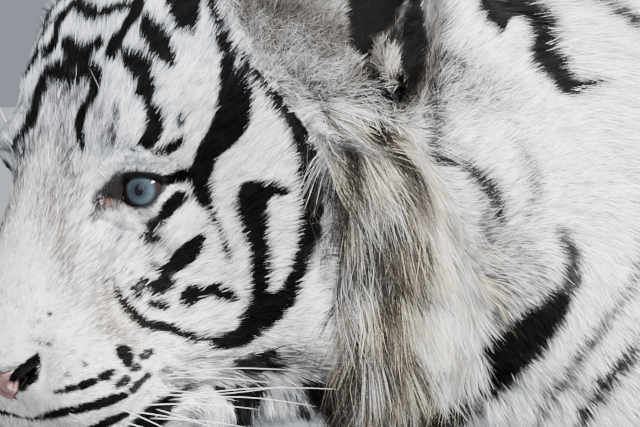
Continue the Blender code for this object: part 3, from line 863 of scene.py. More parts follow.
# the dots at the whiskers' roots and on the bridge: how dark, then the points
DOTS = (
    (0.7, (-54.5, -74, 1.7), (-54, -74.5, 1.7)),
    (0.4, (-61, -78, 1.3), (-60.5, -78.5, 1.3)),
    (0.4, (-60.5, -90.5, 1.3), (-59.5, -91, 1.3)),
    (0.5, (-54.5, -92.5, 1.5), (-53.5, -93, 1.5)),
    (0.6, (-32.5, -104.5, 1.6), (-32, -104.5, 1.6)),
    (0.5, (-44, -110.5, 1.6), (-43, -110.5, 1.6)),
    (0.35, (-40.5, -97, 1.3), (-40, -97, 1.3)),
    (0.4, (4, -86, 1.4), (5, -86, 1.4)),
    (0.5, (10, -85, 1.6), (10.5, -86, 1.6)),
    (0.35, (-1, -84, 1.3), (-0.5, -84.5, 1.3)),
)
MUZZLE_MARKS = (
    black((-11, -96.5, 4.3), (-8.5, -98.5, 5.2), (-7.5, -103, 3.7)),
    *(stripe(strength, 0.7, *row) for strength, *row in LIP_ROWS),
    *(stripe(strength, 0.5, *row) for strength, *row in DOTS),
)
# the far brow, which shows past the bridge
FAR_MARKS = (
    black(
        (-55, 62.5, 2), (-60, 56, 2.5), (-62.5, 50, 1.7), (-66, 44.5, 1.3), (-68.5, 36, 1),
        (-69, 32.5, 0.6)),
    stripe(1, 0.9, (-81.5, 16, 1.8), (-79, 11, 3.3), (-77, 5, 2.4)),
    # painted shade under the far brow
    stripe(0.6, 1.2, (-82, 26, 1.8), (-74.5, 25, 2.4), (-69.5, 20.5, 1.2)),
)
# marks of the neck, softer because its hair is longer
NECK_MARKS = (
    # short marks behind the ruff, and painted shadow along the ruff's back edge
    stripe(0.5, 1.5, (182.5, 81, 1.8), (187, 78, 3), (194, 72, 1.8)),
    stripe(0.6, 2.1, (180.5, 65, 2.4), (177.5, 49, 3.6), (178, 33.5, 3.6), (180.5, 19, 3)),
    stripe(0.75, 2.4,
        (180.5, 19, 3), (192.5, 17.5, 3.6), (207.5, 4, 5.4), (216, -8.5, 4.8), (217, -19, 2.4)),
    stripe(0.35, 2.4, (227.5, 25, 2.4), (236, 12, 3.6), (238, 1, 3.6), (233.5, -9.5, 2.4)),
    # painted shadow along the ruff's back edge
    stripe(0.55, 3.6,
        (208, -13, 3.6), (209, -34, 5.4), (215, -50, 6), (218, -63.5, 7.2), (216, -80.5, 7.2)),
    stripe(0.25, 4.2, (228, -30, 4.8), (237, -43, 7.2), (240, -57, 7.2)),
    stripe(0.7, 3, (252, -25, 3), (260, -39.5, 4.8), (259, -54, 6), (251, -67, 7.2)),
    # the broad mark behind the ear, and the line beside it
    stripe(1, 3,
        (203, 134.5, 3.6), (210, 122.5, 4.8), (220, 113, 6), (234, 105.5, 7.2), (242.5, 97, 8.4),
        (242, 87.5, 9), (243.5, 79, 9), (251, 71, 7.8), (255.5, 62.5, 6), (265, 59, 3.6),
        (277, 65, 1.5)),
    stripe(0.7, 1.8,
        (252, 134.5, 2.4), (261, 122.5, 3), (270, 114, 3.6), (283, 105.5, 4.8), (295, 98.5, 4.8),
        (309, 89, 3.6), (330, 74.5, 1.8)),
    # the broad band across the side of the neck
    stripe(1, 3.6,
        (252, -66, 7.2), (243.5, -77, 10.8), (231, -89, 13.8), (219, -99.5, 15), (207, -111.5, 13.8),
        (195.5, -123, 11.4), (183.5, -136, 9.6), (168, -151, 9), (150, -168, 8.4)),
    # the shade round the marks
    stripe(0.2, 5.4,
        (180.5, 78, 3.6), (179, 54, 4.8), (183, 30, 5.4), (198, 15, 6.6), (211, 0, 8.4),
        (215, -21, 10.8), (217, -43, 14.4), (220, -66, 16.8), (218, -87, 14.4)),
    stripe(0.15, 5.4, (227, 30, 3.6), (236, 6, 6), (238, -18, 6)),
    stripe(0.2, 4.8, (255.5, -24, 3.6), (260, -45, 7.2), (252, -66, 9.6)),
    # two long thin lines behind the band
    stripe(0.55, 2.7,
        (309.5, -30, 2.4), (300.5, -48, 3), (287, -69, 3), (274, -87, 3.6), (258, -108, 3.9),
        (246, -126, 3.3), (235, -144, 3), (222, -168, 2.4)),
    stripe(0.75, 2.7,
        (321.5, -66, 2.4), (309, -83, 3.3), (300, -93.5, 4.2), (285, -109, 4.8), (271, -126, 4.8),
        (261, -144, 4.2), (252, -168, 3)),
)


def wander(rng, count, size):
    """A smooth random path of offsets."""
    steps = rng.normal(0, size, count)
    return np.convolve(np.cumsum(steps), np.ones(3) / 3, mode="same")


def body_marks():
    """Stripes down the trunk on a plane of (along the body, down round the side), in millimetres."""
    rng = np.random.default_rng(7)
    marks = []
    for side in (LEFT, RIGHT):
        along = -560.0
        while along < 760:
            along += rng.uniform(52, 84)
            down = np.linspace(8, rng.uniform(270, 460), 9)
            drift = wander(rng, 9, 9) + along + (down - 8) * rng.uniform(-0.12, 0.18)
            widest = rng.uniform(8, 14)
            shape = np.sin(np.linspace(0.25, 1, 9) * math.pi) ** 0.7
            width = widest * shape + 1.0
            marks.append(stripe(1, 3.5, *zip(drift, side * down, width)))
            if rng.random() < 0.55:
                first = rng.integers(1, 4)
                last = rng.integers(6, 9)
                middle = slice(first, last)
                gap = widest * 2.0 + 8
                apart = gap * np.sin(np.linspace(0.15, 0.85, last - first) * math.pi)
                marks.append(
                    stripe(1, 3.5, *zip(drift[middle] + apart, side * down[middle], width[middle] * 0.55))
                )
            if rng.random() < 0.8:
                start = rng.uniform(300, 430)
                low = np.linspace(start, start + rng.uniform(90, 170), 5)
                drift = along + rng.uniform(20, 50) + wander(rng, 5, 7)
                width = rng.uniform(5, 9) * np.sin(np.linspace(0.1, 0.9, 5) * math.pi) + 1
                marks.append(stripe(0.9, 4, *zip(drift, side * low, width)))
    return marks


def leg_marks(seed, low, high, spacing):
    """Bands across a leg on a plane of (round the leg, up), in millimetres."""
    rng = np.random.default_rng(seed)
    marks = []
    up = low
    while up < high:
        up += rng.uniform(*spacing)
        start = rng.uniform(-230, -60)
        across = np.linspace(start, start + rng.uniform(130, 260), 6)
        rise = up + wander(rng, 6, 7) - np.abs(across) * 0.08
        width = rng.uniform(5, 9.5) * np.sin(np.linspace(0.06, 0.94, 6) * math.pi) + 1
        marks.append(stripe(0.95, 3.5, *zip(across, rise, width)))
    return marks


def tail_darkness(place, length, angle):
    """Rings round the tail, wider and closer towards its black tip."""
    dark = ramp(place, length - 0.085, length - 0.07)
    ring = 0.16
    number = 0
    while ring < length - 0.10:
        half = 0.010 + 0.0012 * number
        wave = 0.006 * np.sin(angle * 2 + number * 1.7) + 0.004 * np.sin(angle * 3 + number)
        dark = np.maximum(dark, ramp(half - np.abs(place - ring + wave), -0.004, 0.004))
        number += 1
        ring += 0.088 - 0.004 * number
    return dark


HEAD_MARKS = FOREHEAD_MARKS + EYE_MARKS + CHEEK_MARKS + MUZZLE_MARKS
CROWN_MARKS = (
    stripe(1, 1.5, (-8, 120, 3), (0, 134, 6), (4, 150, 4)),
    stripe(1, 1.5, (22, 122, 4), (28, 136, 7), (26, 152, 4)),
)
TRUNK_MARKS = body_marks()
TAIL = tail_line()
TAIL_LENGTH = float(np.linalg.norm(np.diff(TAIL, axis=0), axis=1).sum())
SPINE_HEIGHT = 0.69  # the trunk's middle, which its stripes run round


LEG_RADIUS = 0.075
TRUNK_RADIUS = 0.20


def leg_frame(name):
    """The leg that a node belongs to, where it stands on the floor, and its side."""
    fore = any(word in name for word in ("arm", "fore"))
    side = "left" if name.endswith("left") else "right"
    kind = "fore" if fore else "hind"
    shin = "forearm_" if fore else "shank_"
    return kind + side, node_middle(shin + side)[:2], SIDES[side]


# a seed for each leg, how low and how high its bands go, and their spacing
LEG_MARKS = {
    "foreleft": leg_marks(3, 120, 430, (44, 66)),
    "foreright": leg_marks(5, 120, 430, (44, 66)),
    "hindleft": leg_marks(11, 90, 560, (32, 48)),
    "hindright": leg_marks(13, 90, 560, (32, 48)),
}


def round_trunk(points):
    """(along, down round the side) in millimetres; the right side counts down from zero."""
    angle = np.arctan2(points[:, 0], points[:, 2] - SPINE_HEIGHT)
    return np.stack([points[:, 1], angle * TRUNK_RADIUS], -1) / MM


def round_leg(points, name):
    """(round the leg, up) in millimetres."""
    _, middle, side = leg_frame(name)
    angle = np.arctan2((points[:, 1] - middle[1]), (points[:, 0] - middle[0]) * side)
    return np.stack([angle * LEG_RADIUS, points[:, 2]], -1) / MM


def in_view(plane, margin):
    """1 inside the part of the cheek plane that the camera sees, 0 beyond it."""
    right, up = plane[:, 0], plane[:, 1]
    low, high = VIEW_LOW, VIEW_HIGH
    return (
        ramp(right, low[0] - margin, low[0])
        * ramp(-right, -high[0] - margin, -high[0])
        * ramp(up, low[1] - margin, low[1])
        * ramp(-up, -high[1] - margin, -high[1])
    )


HEAD_NODES = ("head", "lower_jaw", "nose", "ear_left", "ear_right")
LEG_WORDS = ("arm", "fore", "thigh", "shank", "hind")


def is_leg(name):
    return any(word in name for word in LEG_WORDS)


# the near nostril's opening on the cheek plane
NOSTRIL = (
    stripe(1, 0.8, (-61.5, -99.5, 2.0), (-64.5, -105.0, 5.0), (-67.5, -110.5, 7.0), (-72.0, -115.0, 6.0)),
    stripe(1, 0.8, (-70.0, -116.0, 4.0), (-76.0, -117.0, 3.0)),
)


def marking(points, owners):
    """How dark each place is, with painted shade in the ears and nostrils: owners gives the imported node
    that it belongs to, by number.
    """
    dark = np.zeros(len(points))
    head = owned(owners, HEAD_NODES)
    plane = on_cheek_plane(points)
    spots = np.nonzero(head)[0]
    if len(spots):
        # the nostril's opening is painted dark on the skin as well, as painted shade
        marks = HEAD_MARKS + CROWN_MARKS + NOSTRIL
        dark[spots] = darkness(on_cheek_plane(mirrored(points[spots])), marks)
        far = into_head(points[spots])[:, 0] < 0.004
        dark[spots] = np.maximum(dark[spots], darkness(plane[spots], FAR_MARKS) * far)
    folded = on_cheek_plane(mirrored(points))
    seen = in_view(folded, 25.0)
    spots = np.nonzero((seen > 0) & (~head | (folded[:, 0] > 165)))[0]
    if len(spots):
        found = darkness(folded[spots], NECK_MARKS) * seen[spots]
        dark[spots] = np.maximum(dark[spots] * head[spots], found)
    spots = np.nonzero(owned(owners, ("neck", "trunk", "upper_arm_left", "upper_arm_right")))[0]
    if len(spots):
        found = darkness(round_trunk(points[spots]), TRUNK_MARKS) * (1 - seen[spots])
        dark[spots] = np.maximum(dark[spots], found)
    for name in NODES:
        spots = np.nonzero(owners == NODES.index(name))[0]
        if not len(spots):
            continue
        if is_leg(name):
            key, _, _ = leg_frame(name)
            found = darkness(round_leg(points[spots], name), LEG_MARKS[key])
            if name.startswith(("thigh", "upper_arm")):
                high = ramp(points[spots, 2], 0.36, 0.52)
                trunk = darkness(round_trunk(points[spots]), TRUNK_MARKS)
                found = np.maximum(found * (1 - high), trunk * high * (1 - seen[spots]))
            dark[spots] = np.maximum(dark[spots], found)
        if name.startswith("tail"):
            place, _, foot = along_line(points[spots], TAIL)
            off = points[spots] - foot
            angle = np.arctan2(off[:, 0], off[:, 2])
            dark[spots] = tail_darkness(place, TAIL_LENGTH, angle)
    for side in SIDES.values():
        local = into_ear(points, side)
        ear = (local[:, 2] > 0.020) & (np.abs(local[:, 0]) < 0.075) & (np.abs(local[:, 1]) < 0.05)
        ear &= local[:, 2] < 0.14
        back = ramp(local[:, 1], 0.000, 0.010) * ear
        spot = near(local, (0.0, 0.030, 0.062), (0.017, 0.03, 0.022))
        black = back * (1 - ramp(spot, 0.45, 0.65))
        dark = np.where(ear, black, dark)
        # painted shade: the bowl inside each ear near black
        deep = ear & (local[:, 1] > -0.012) & (ear_reach(local) < 0.62) & (local[:, 1] < 0.018)
        dark = np.where(deep, 0.96, dark)
    canal, crease, fold, back = ear_front(points)
    # painted shade in the ear's canal, the crease before it and the hollow behind its fold
    hidden = np.maximum(np.maximum(canal, 0.9 * crease), 0.93 * back)
    dark = np.maximum(dark * (1 - fold), hidden)
    return 1 - (1 - dark) ** 3


# dark patches in the ruff on the cheek plane: brown-grey fur and painted shade in its hollows
RUFF_SHADE = (
    stripe(0.9, 5, (142, 22, 6), (150, 18, 7), (160, 20, 6)),
    stripe(0.8, 6, (124, 0, 7), (140, -12, 9), (160, -26, 9), (168, -42, 6)),
    stripe(1.0, 4, (136, -70, 6), (146, -74, 9), (154, -86, 6)),
    stripe(0.9, 4, (154, -72, 2), (166, -92, 4), (178, -112, 4), (188, -126, 2)),
    stripe(0.9, 6, (98, -112, 5), (116, -124, 10), (130, -140, 10)),
    stripe(0.6, 7, (106, -40, 4), (118, -62, 7), (124, -86, 8), (136, -110, 9)),
)


# where the tousled grey fur before the ear is darkest
GRIZZLE_DARK = (
    stripe(1, 6, (66, 116, 6), (92, 106, 7), (112, 98, 6), (122, 86, 4)),
    stripe(0.6, 6, (92, 84, 3), (104, 76, 4)),
)


# softer colours of the face on the cheek plane: beige and grey down the bridge, lilac on the brow,
# painted bluish shadow below the eye and painted brown-grey shade under the jaw
FACE_TINTS_AND_SHADOWS = (
    ((0.135, 0.112, 0.096), (stripe(0.93, 14, (-54, 2, 6), (-46, -30, 9), (-40, -60, 8)),)),
    ((0.090, 0.087, 0.087), (stripe(0.93, 11, (-46, 34, 8), (-40, -2, 7)),)),
    ((0.105, 0.086, 0.073), (stripe(0.93, 10, (-20, -40, 6), (-22, -78, 7), (-6, -90, 5)),)),
    ((0.085, 0.079, 0.083), (stripe(0.93, 11, (-70, 40, 7), (-50, 54, 9), (-30, 58, 7), (-18, 34, 7)),)),
    # painted shadow below the eye
    ((0.026, 0.028, 0.038), (stripe(0.93, 6, (4, -19, 5), (8, -28, 8), (18, -36, 4)),)),
    ((0.120, 0.130, 0.165), (stripe(0.70, 6, (-14, -17, 5), (-10, -34, 6)),)),
    # painted shade under the jaw
    ((0.052, 0.045, 0.038), (stripe(0.9, 9, (30, -102, 4), (56, -100, 6), (96, -100, 8), (120, -112, 8)),)),
)


def face_grain(points):
    """How speckled the short fur of the face is."""
    plane = on_cheek_plane(mirrored(points))
    return darkness(plane, [strokes[0] for _, strokes in FACE_TINTS_AND_SHADOWS])


# where the ruff is darkened: brown fur and painted shade
def ruff_shade(points):
    return darkness(on_cheek_plane(mirrored(points)), RUFF_SHADE)


def ground(points, owners):
    """The coat's colour between the marks, with painted sky light on the crown and painted shadows."""
    local = into_head(points)
    side = np.abs(local[:, 0])
    plane = on_cheek_plane(mirrored(points))
    colour = np.repeat(WHITE[None], len(points), 0)
    drift = noise(points, 0.16, 4)
    colour = mixed(colour, CREAM, 0.16 * ramp(drift, -0.2, 1))
    head = owned(owners, HEAD_NODES)
    # painted light: the upper part of the head tinted blue as by the sky above
    colour = mixed(colour, CROWN_SKY_TINT, 0.85 * ramp(local[:, 2], -0.01, 0.05) * head)
    snout = ramp(-local[:, 2], 0.02, 0.07) * ramp(-local[:, 1], 0.02, 0.08) * head
    colour = mixed(colour, SNOUT_CREAM, 0.8 * snout)
    bridge = near(local, (0, -0.050, 0.0), (0.034, 0.050, 0.045)) * head
    colour = mixed(colour, BRIDGE_BEIGE, np.clip(bridge * 1.2, 0, 0.85))
    cheek = near(local, (0.055, -0.060, -0.050), (0.028, 0.030, 0.030))
    cheek = np.maximum(cheek, near(local, (-0.055, -0.060, -0.050), (0.028, 0.030, 0.030)))
    colour = mixed(colour, CHEEK_TAN, cheek * 0.6 * head)
    for tint, strokes in FACE_TINTS_AND_SHADOWS:
        colour = mixed(colour, np.array(tint), darkness(plane, strokes) * head)
    behind = ruff_depth(plane)
    patch = ramp(behind, 2, 10) * ramp(-plane[:, 0], -165, -140) * ramp(plane[:, 1], 25, 60) * head
    blotch = 0.55 + 0.45 * ramp(plane[:, 1], 40, 100) + 0.25 * noise(points, 0.03, 51)
    shaded = darkness(plane, GRIZZLE_DARK)[:, None]
    grizzle = (0.23 - 0.17 * shaded) * np.array([1, 0.97, 0.93])
    colour = mixed(colour, grizzle, np.clip(patch * blotch, 0, 1))
    # brown fur and painted shade in the ruff's hollows
    colour = mixed(colour, RUFF_BROWN_AND_SHADE, ruff_shade(points) * ruff_share(points, owners))
    ear = ramp(local[:, 1], 0.10, 0.12) * ramp(side, 0.04, 0.06)
    for tint, strokes in EAR_TINTS:
        colour = mixed(colour, np.array(tint), darkness(plane, strokes) * ear)
    # painted shadow in the grooves between the toes
    colour = mixed(colour, TOE_GROOVE_SHADE, 0.8 * toe_grooves(points)[0])
    tuft = ear_front(points)[2]
    return mixed(colour, TUFT_CREAM, tuft)


# ------------------------------------------------------------ the lie, length and depth of the coat


# for each node: length, lift in degrees, width, and hairs for each square millimetre
COAT = {
    "trunk": (0.027, 11, 0.0020, 0.16),
    "neck": (0.029, 12, 0.0017, 0.24),
    "upper_arm": (0.024, 11, 0.0018, 0.18),
    "thigh": (0.026, 11, 0.0020, 0.16),
    "forearm": (0.016, 11, 0.0015, 0.24),
    "shank": (0.016, 11, 0.0015, 0.24),
    "fore_paw": (0.009, 12, 0.0011, 0.40),
    "hind_paw": (0.009, 12, 0.0011, 0.40),
    "tail_base": (0.026, 13, 0.0018, 0.22),
    "tail_middle": (0.026, 13, 0.0018, 0.22),
    "tail_tip": (0.028, 14, 0.0018, 0.26),
    "head": (0.013, 13, 0.0009, 1.3),
    "lower_jaw": (0.012, 16, 0.0009, 1.3),
    "nose": (0.0085, 15, 0.0006, 1.3),
    "ear_left": (0.009, 14, 0.0008, 1.2),
    "ear_right": (0.009, 14, 0.0008, 1.2),
}
HAIR_ROOT = np.array([0.0, -0.150, -0.050])  # the hair of the face runs away from here
# lengths of the tufts and hairs that differ from their node's
JAW_TUFT, GRIZZLE_HAIR, CANAL_HAIR, EAR_BACK_HAIR, EAR_TUFT = 0.021, 0.019, 0.004, 0.008, 0.017
FINE_HEAD_HAIR, FINE_NECK_HAIR = 0.00055, 0.00062  # widths in the part that the camera sees


def coat_row(name):
    for key, row in COAT.items():
        if name.startswith(key):
            return row
    return COAT["head"]


def lie_of_coat(points, normals, owners):
    """The way that the hair runs at each corner, along the surface."""
    way = np.zeros_like(points)
    local = into_head(points)
    for number, name in enumerate(NODES):
        spots = owners == number
        if not spots.any():
            continue
        here = points[spots]
        if name in ("trunk", "neck"):
            run = np.array([0, 1, -0.28]) + np.zeros_like(here)
            run[:, 2] -= 0.5 * ramp(-here[:, 2], -0.62, -0.45)
        elif name.startswith(("upper_arm", "thigh")):
            run = np.array([0, 0.55, -0.9]) + np.zeros_like(here)
        elif name.startswith(("forearm", "shank")):
            run = np.array([0, 0.25, -1.0]) + np.zeros_like(here)
        elif "paw" in name:
            run = np.array([0, -0.75, -0.55]) + np.zeros_like(here)
        elif name.startswith("tail"):
            _, run, _ = along_line(here, TAIL)
        elif name.startswith("ear"):
            side = SIDES[name[4:]]
            ear = into_ear(here, side)
            run = from_ear(np.array([[0, 0, 1.0]]), side) - from_ear(np.zeros((1, 3)), side)
            run = run + np.zeros_like(here)
            spread = from_ear(np.array([[1.0, 0, 0]]), side) - from_ear(np.zeros((1, 3)), side)
            run = run + spread * (ear[:, :1] / 0.05)
        else:
            run = (local[spots] - HAIR_ROOT) @ HEAD_AXES.T
        way[spots] = unit(run)
    head = owned(owners, HEAD_NODES)
    plane = on_cheek_plane(mirrored(points))
    behind = ruff_depth(plane)
    ruff = ruff_share(points, owners)
    down = np.array([0, 0, -1.0])
    back = 0.25 + 0.30 * ramp(-behind, -26, -4) + 0.55 * ramp(behind, 40, 85)
    out = HEAD_AXES[:, 1][None] * back[:, None] + down
    way = mixed(way, unit(out), ruff)
    jaw = jaw_share(points) * head * (1 - ruff)
    way = mixed(way, unit(down - HEAD_AXES[:, 1] * 0.1), 0.85 * jaw)
    throat = ramp(-local[:, 2], 0.12, 0.16) * head * ramp(local[:, 1], -0.03, 0.03)
    way = mixed(way, unit(np.array([0, 0.5, -0.6])), throat * (1 - ruff))
    fold = ear_front(points)[2]
    tuft = np.array([-0.30, 0.45, 0.85]) @ HEAD_AXES.T
    tuft = np.where(local[:, :1] > 0, tuft, np.array([0.30, 0.45, 0.85]) @ HEAD_AXES.T)
    way = mixed(way, unit(tuft), fold)
    return along_skin(way, normals)


def ruff_share(points, owners):
    """1 in the long hair behind the cheeks, 0 away from it."""
    plane = on_cheek_plane(mirrored(points))
    behind = ruff_depth(plane)
    head = owned(owners, HEAD_NODES + ("neck",))
    below = ramp(-plane[:, 1], -66, -40)
    local = into_head(points)
    back = ramp(0.235 - local[:, 1], 0.0, 0.05) * ramp(local[:, 1], -0.035, -0.010)
    return ramp(behind, 2, 7) * ramp(before_ruff_back(plane), 0, 12) * below * head * back


def jaw_share(points):
    """1 in the loose tufts under the cheek, 0 away from them."""
    plane = on_cheek_plane(mirrored(points))
    behind_chin = ramp(into_head(points)[:, 1], -0.075, -0.045)
    return ramp(-plane[:, 1], 108, 122) * ramp(plane[:, 0], 12, 28) * behind_chin


def grizzle_share(points, owners):
    """1 in the tousled grey fur before the ear."""
    plane = on_cheek_plane(mirrored(points))
    head = owned(owners, ("head",))
    local = into_head(points)
    zone = ramp(ruff_depth(plane), 0, 6) * ramp(plane[:, 1], 36, 58)
    return zone * head * ramp(0.19 - local[:, 1], 0, 0.03)


def coat_fields(surface, owners):
    """Length, lift, width, density and lie of the hair at each corner, evened out over the skin."""
    points, normals = surface.points, surface.normals()
    rows = np.array([coat_row(name) for name in NODES])[owners]
    length, lift, width, density = rows.T.copy()
    lift = np.radians(lift)
    local = into_head(points)
    local[:, 0] = np.abs(local[:, 0])
    head = owned(owners, HEAD_NODES)
    plane = on_cheek_plane(points)
    facing = normals @ BACK
    clear = ramp(facing, -0.25, 0.05) * in_view(plane, 14.0)
    clear = clear * ramp((points - NEAR_EYE) @ BACK, -0.20, -0.16)
    fore = -local[:, 1]
    muzzle = ramp(fore, 0.035, 0.085) * head
    length = np.where(head, length * (1 - 0.50 * muzzle), length)
    bridge = near(local, (0, -0.045, 0.010), (0.034, 0.060, 0.05)) * head
    length = length * (1 - 0.45 * bridge)
    lids = near(local, (0.058, -0.010, 0.002), (0.026, 0.026, 0.022)) * head
    length = length * (1 - 0.35 * lids)
    chin = ramp(-local[:, 2], 0.112, 0.125) * ramp(fore, 0.0, 0.05) * head
    length = length * (1 + 0.9 * chin)
    jaw = jaw_share(points) * head
    length = towards(length, JAW_TUFT, jaw)
    lift = lift + np.radians(10) * jaw
    belly = ramp(0.44 - points[:, 2], 0, 0.05) * (owners == NODES.index("trunk"))
    length = length * (1 + 0.25 * belly)
    ruff = ruff_share(points, owners)
    grizzle = grizzle_share(points, owners)
    length = towards(length, GRIZZLE_HAIR, grizzle)
    lift = lift + np.radians(14) * grizzle
    fine = clear * ramp(0.26 - local[:, 1], 0.0, 0.04)
    thick = head | (ruff > 0.3)
    width = np.where(thick, towards(width, FINE_HEAD_HAIR, fine), towards(width, FINE_NECK_HAIR, clear))
    most = np.where(thick, 3.0, 2.3)
    density = density * (1 - clear) + most * clear * (1 - 0.35 * grizzle)
    soles = (normals[:, 2] < -0.8) & (points[:, 2] < 0.012)
    density = np.where(soles, 0.0, density)
    canal, _, fold, back = ear_front(points)
    density = density * (1 - 0.9 * canal)
    length = towards(length, CANAL_HAIR, canal)
    length = towards(length, EAR_BACK_HAIR, back)
    length = towards(length, EAR_TUFT, fold)
    grizzle = grizzle * (1 - np.maximum(np.maximum(canal, fold), back))
    depth = length * np.sin(lift) * 0.85
    depth = depth + 0.010 * ruff
    fields = np.stack([length, lift, width, density, depth, ruff, grizzle, clear], -1)
    fields = surface.relaxed(fields, 4)
    way = lie_of_coat(points, normals, owners)
    way = surface.relaxed(way, 14)
    return fields, along_skin(way, normals)


# ------------------------------------------------------------ hair


PATCH_REACH = 0.0015  # half of each hair's own patch of the unwrap
HAIR_CLEARANCE = 0.0004  # between the lowest hairs and the floor
MOST_TRIANGLES = 190000  # in one piece of the coat


def scatter(surface, density, rng):
    """Places by the density in each square millimetre: (triangle, shares of its corners)."""
    area = np.linalg.norm(surface.face_normals(), axis=1) / 2 * 1e6
    wanted = area * density[surface.triangles].mean(1)
    total = np.cumsum(wanted)
    count = int(total[-1])
    steps = (np.arange(count) + rng.random(count)) / count * total[-1]
    triangle = np.clip(np.searchsorted(total, steps), 0, len(wanted) - 1)
    a = np.sqrt(rng.random(count))
    b = rng.random(count)
    shares = np.stack([1 - a, a * (1 - b), a * b], -1)
    return triangle, shares


def spread(values, surface, triangle, shares):
    """A corner value carried to scattered places."""
    corners = values[surface.triangles[triangle]]
    if corners.ndim == 2:
        return (corners * shares).sum(1)
    return (corners * shares[:, :, None]).sum(1)


@dataclass
class Hairs:
    """Hairs as thin blades: each value is an array with one row a hair."""

    roots: np.ndarray
    normals: np.ndarray
    ways: np.ndarray
    length: np.ndarray
    lift: np.ndarray
    width: np.ndarray
    colour: np.ndarray
    tip: np.ndarray
    patch: np.ndarray
    bend: np.ndarray = None  # how far each lies down again towards its tip
    curl: np.ndarray = None  # swing to the side, where the swing starts, and droop
    gather: np.ndarray = None  # how far each is drawn to the middle of its lock

    def blades(self, segments, rng):
        """(points, triangles, colours, patches) of all the hairs."""
        count = len(self.roots)
        side = unit(np.cross(self.normals, self.ways))
        twist = rng.normal(0, 0.35, count)[:, None]
        broad = unit(side * np.cos(twist) + self.normals * np.sin(twist))
        rise, run = np.sin(self.lift)[:, None], np.cos(self.lift)[:, None]
        length = self.length[:, None]
        rows, tones, spots = [], [], []
        for k in range(segments + 1):
            t = k / segments
            lean = 1.0 if self.bend is None else 1.0 - self.bend[:, None] * t
            centre = self.roots + length * (self.ways * run * t + self.normals * rise * t * lean)
            if self.gather is not None:
                centre = centre - self.gather * t**1.3
            if self.curl is not None:
                swing, phase, droop = self.curl.T[:, :, None]
                centre = centre + side * length * swing * (np.sin(phase + 4.2 * t) - np.sin(phase))
                centre = centre + np.array([0, 0, -1.0]) * length * droop * t * t
            tone = self.colour + (self.tip - self.colour) * t
            if k < segments:
                half = broad * (self.width * 0.5 * (1 - 0.75 * t**1.5))[:, None]
                rows += [centre - half, centre + half]
                tones += [tone, tone]
                edge, run_on = PATCH_REACH * (1 - t), 0.003 * t - PATCH_REACH
                spots += [self.patch + (-edge, run_on), self.patch + (edge, run_on)]
            else:
                rows.append(centre)
                tones.append(tone)
                spots.append(self.patch + (0.0, PATCH_REACH))
        each = segments * 2 + 1
        points = np.stack(rows, 1).reshape(-1, 3)
        points[:, 2] = np.maximum(points[:, 2], FLOOR + HAIR_CLEARANCE)
        colours = np.stack(tones, 1).reshape(-1, 3)
        patches = np.stack(spots, 1).reshape(-1, 2)
        pattern = []
        for k in range(segments - 1):
            a = k * 2
            pattern += [(a, a + 1, a + 3), (a, a + 3, a + 2)]
        last = (segments - 1) * 2
        pattern.append((last, last + 1, last + 2))
        pattern = np.array(pattern)
        triangles = (np.arange(count) * each)[:, None, None] + pattern[None]
        return points, triangles.reshape(-1, 3), colours, patches


def triangle_mesh(name, points, triangles, colours, patches):
    """A mesh object straight from arrays, with its Coat colours and its OFBake map."""
    mesh = bpy.data.meshes.new(name)
    mesh.vertices.add(len(points))
    mesh.vertices.foreach_set("co", points.astype(np.float32).ravel())
    mesh.loops.add(triangles.size)
    mesh.loops.foreach_set("vertex_index", triangles.astype(np.int32).ravel())
    mesh.polygons.add(len(triangles))
    mesh.polygons.foreach_set("loop_start", np.arange(0, triangles.size, 3, dtype=np.int32))
    layer = mesh.uv_layers.new(name="OFBake")
    layer.data.foreach_set("uv", patches[triangles.ravel()].astype(np.float32).ravel())
    mesh.update(calc_edges=True)
    obj = placed(name, mesh)
    put_colours(obj, colours)
    return obj


def grow_coat(name, hairs, segments, rng):
    """The hairs as pieces of the coat, each under MOST_TRIANGLES triangles."""
    triangles_each = segments * 2 - 1
    pieces = max(1, math.ceil(len(hairs.roots) * triangles_each / MOST_TRIANGLES))
    points, triangles, colours, patches = hairs.blades(segments, rng)
    corners_each = segments * 2 + 1
    cuts = np.linspace(0, len(hairs.roots), pieces + 1).astype(int)
    for number, (start, end) in enumerate(zip(cuts[:-1], cuts[1:]), 1):
        corners = slice(start * corners_each, end * corners_each)
        faces = triangles[start * triangles_each : end * triangles_each] - start * corners_each
        title = name if pieces == 1 else f"{name}_{number}"
        obj = triangle_mesh(title, points[corners], faces, colours[corners], patches[corners])
        obj.data.materials.append(COAT_LOOK)
        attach(obj, "root")


# ------------------------------------------------------------ an unwrap of the skin


def turn_share(side, up):
    return np.arctan2(side, up) / (2 * math.pi) + 0.5


def patches_of(points, part):
    """Each hair's place on the unwrap, kept clear of its edges."""
    return np.clip(unwrap(points, part), 0.002, 0.998)


def unwrap(points, part):
    """Where places on the skin lie on that part's own unwrap, from 0 to 1 both ways."""
    if part == "head":
        local = into_head(points)
        return np.stack([turn_share(local[:, 0], local[:, 2] + 0.05), (local[:, 1] + 0.16) / 0.42], -1)
    if part.startswith("ear"):
        side = SIDES[part[4:]]
        local = into_ear(points, side)
        return np.stack([turn_share(local[:, 0], local[:, 1]), (local[:, 2] + 0.02) / 0.16], -1)
    if part == "tail":
        place, _, foot = along_line(points, TAIL)
        off = points - foot
        return np.stack([turn_share(off[:, 0], off[:, 2]), place / TAIL_LENGTH], -1)
    if part == "trunk":
        along = (points[:, 1] - CAD_BOX[0].y) / (CAD_BOX[1].y - CAD_BOX[0].y)
        return np.stack([turn_share(points[:, 0], points[:, 2] - SPINE_HEIGHT), along], -1)
    _, middle, _ = leg_frame(part)
    turn = turn_share(points[:, 0] - middle[0], points[:, 1] - middle[1])
    return np.stack([turn, points[:, 2] / 0.8], -1)


# ------------------------------------------------------------ finishes


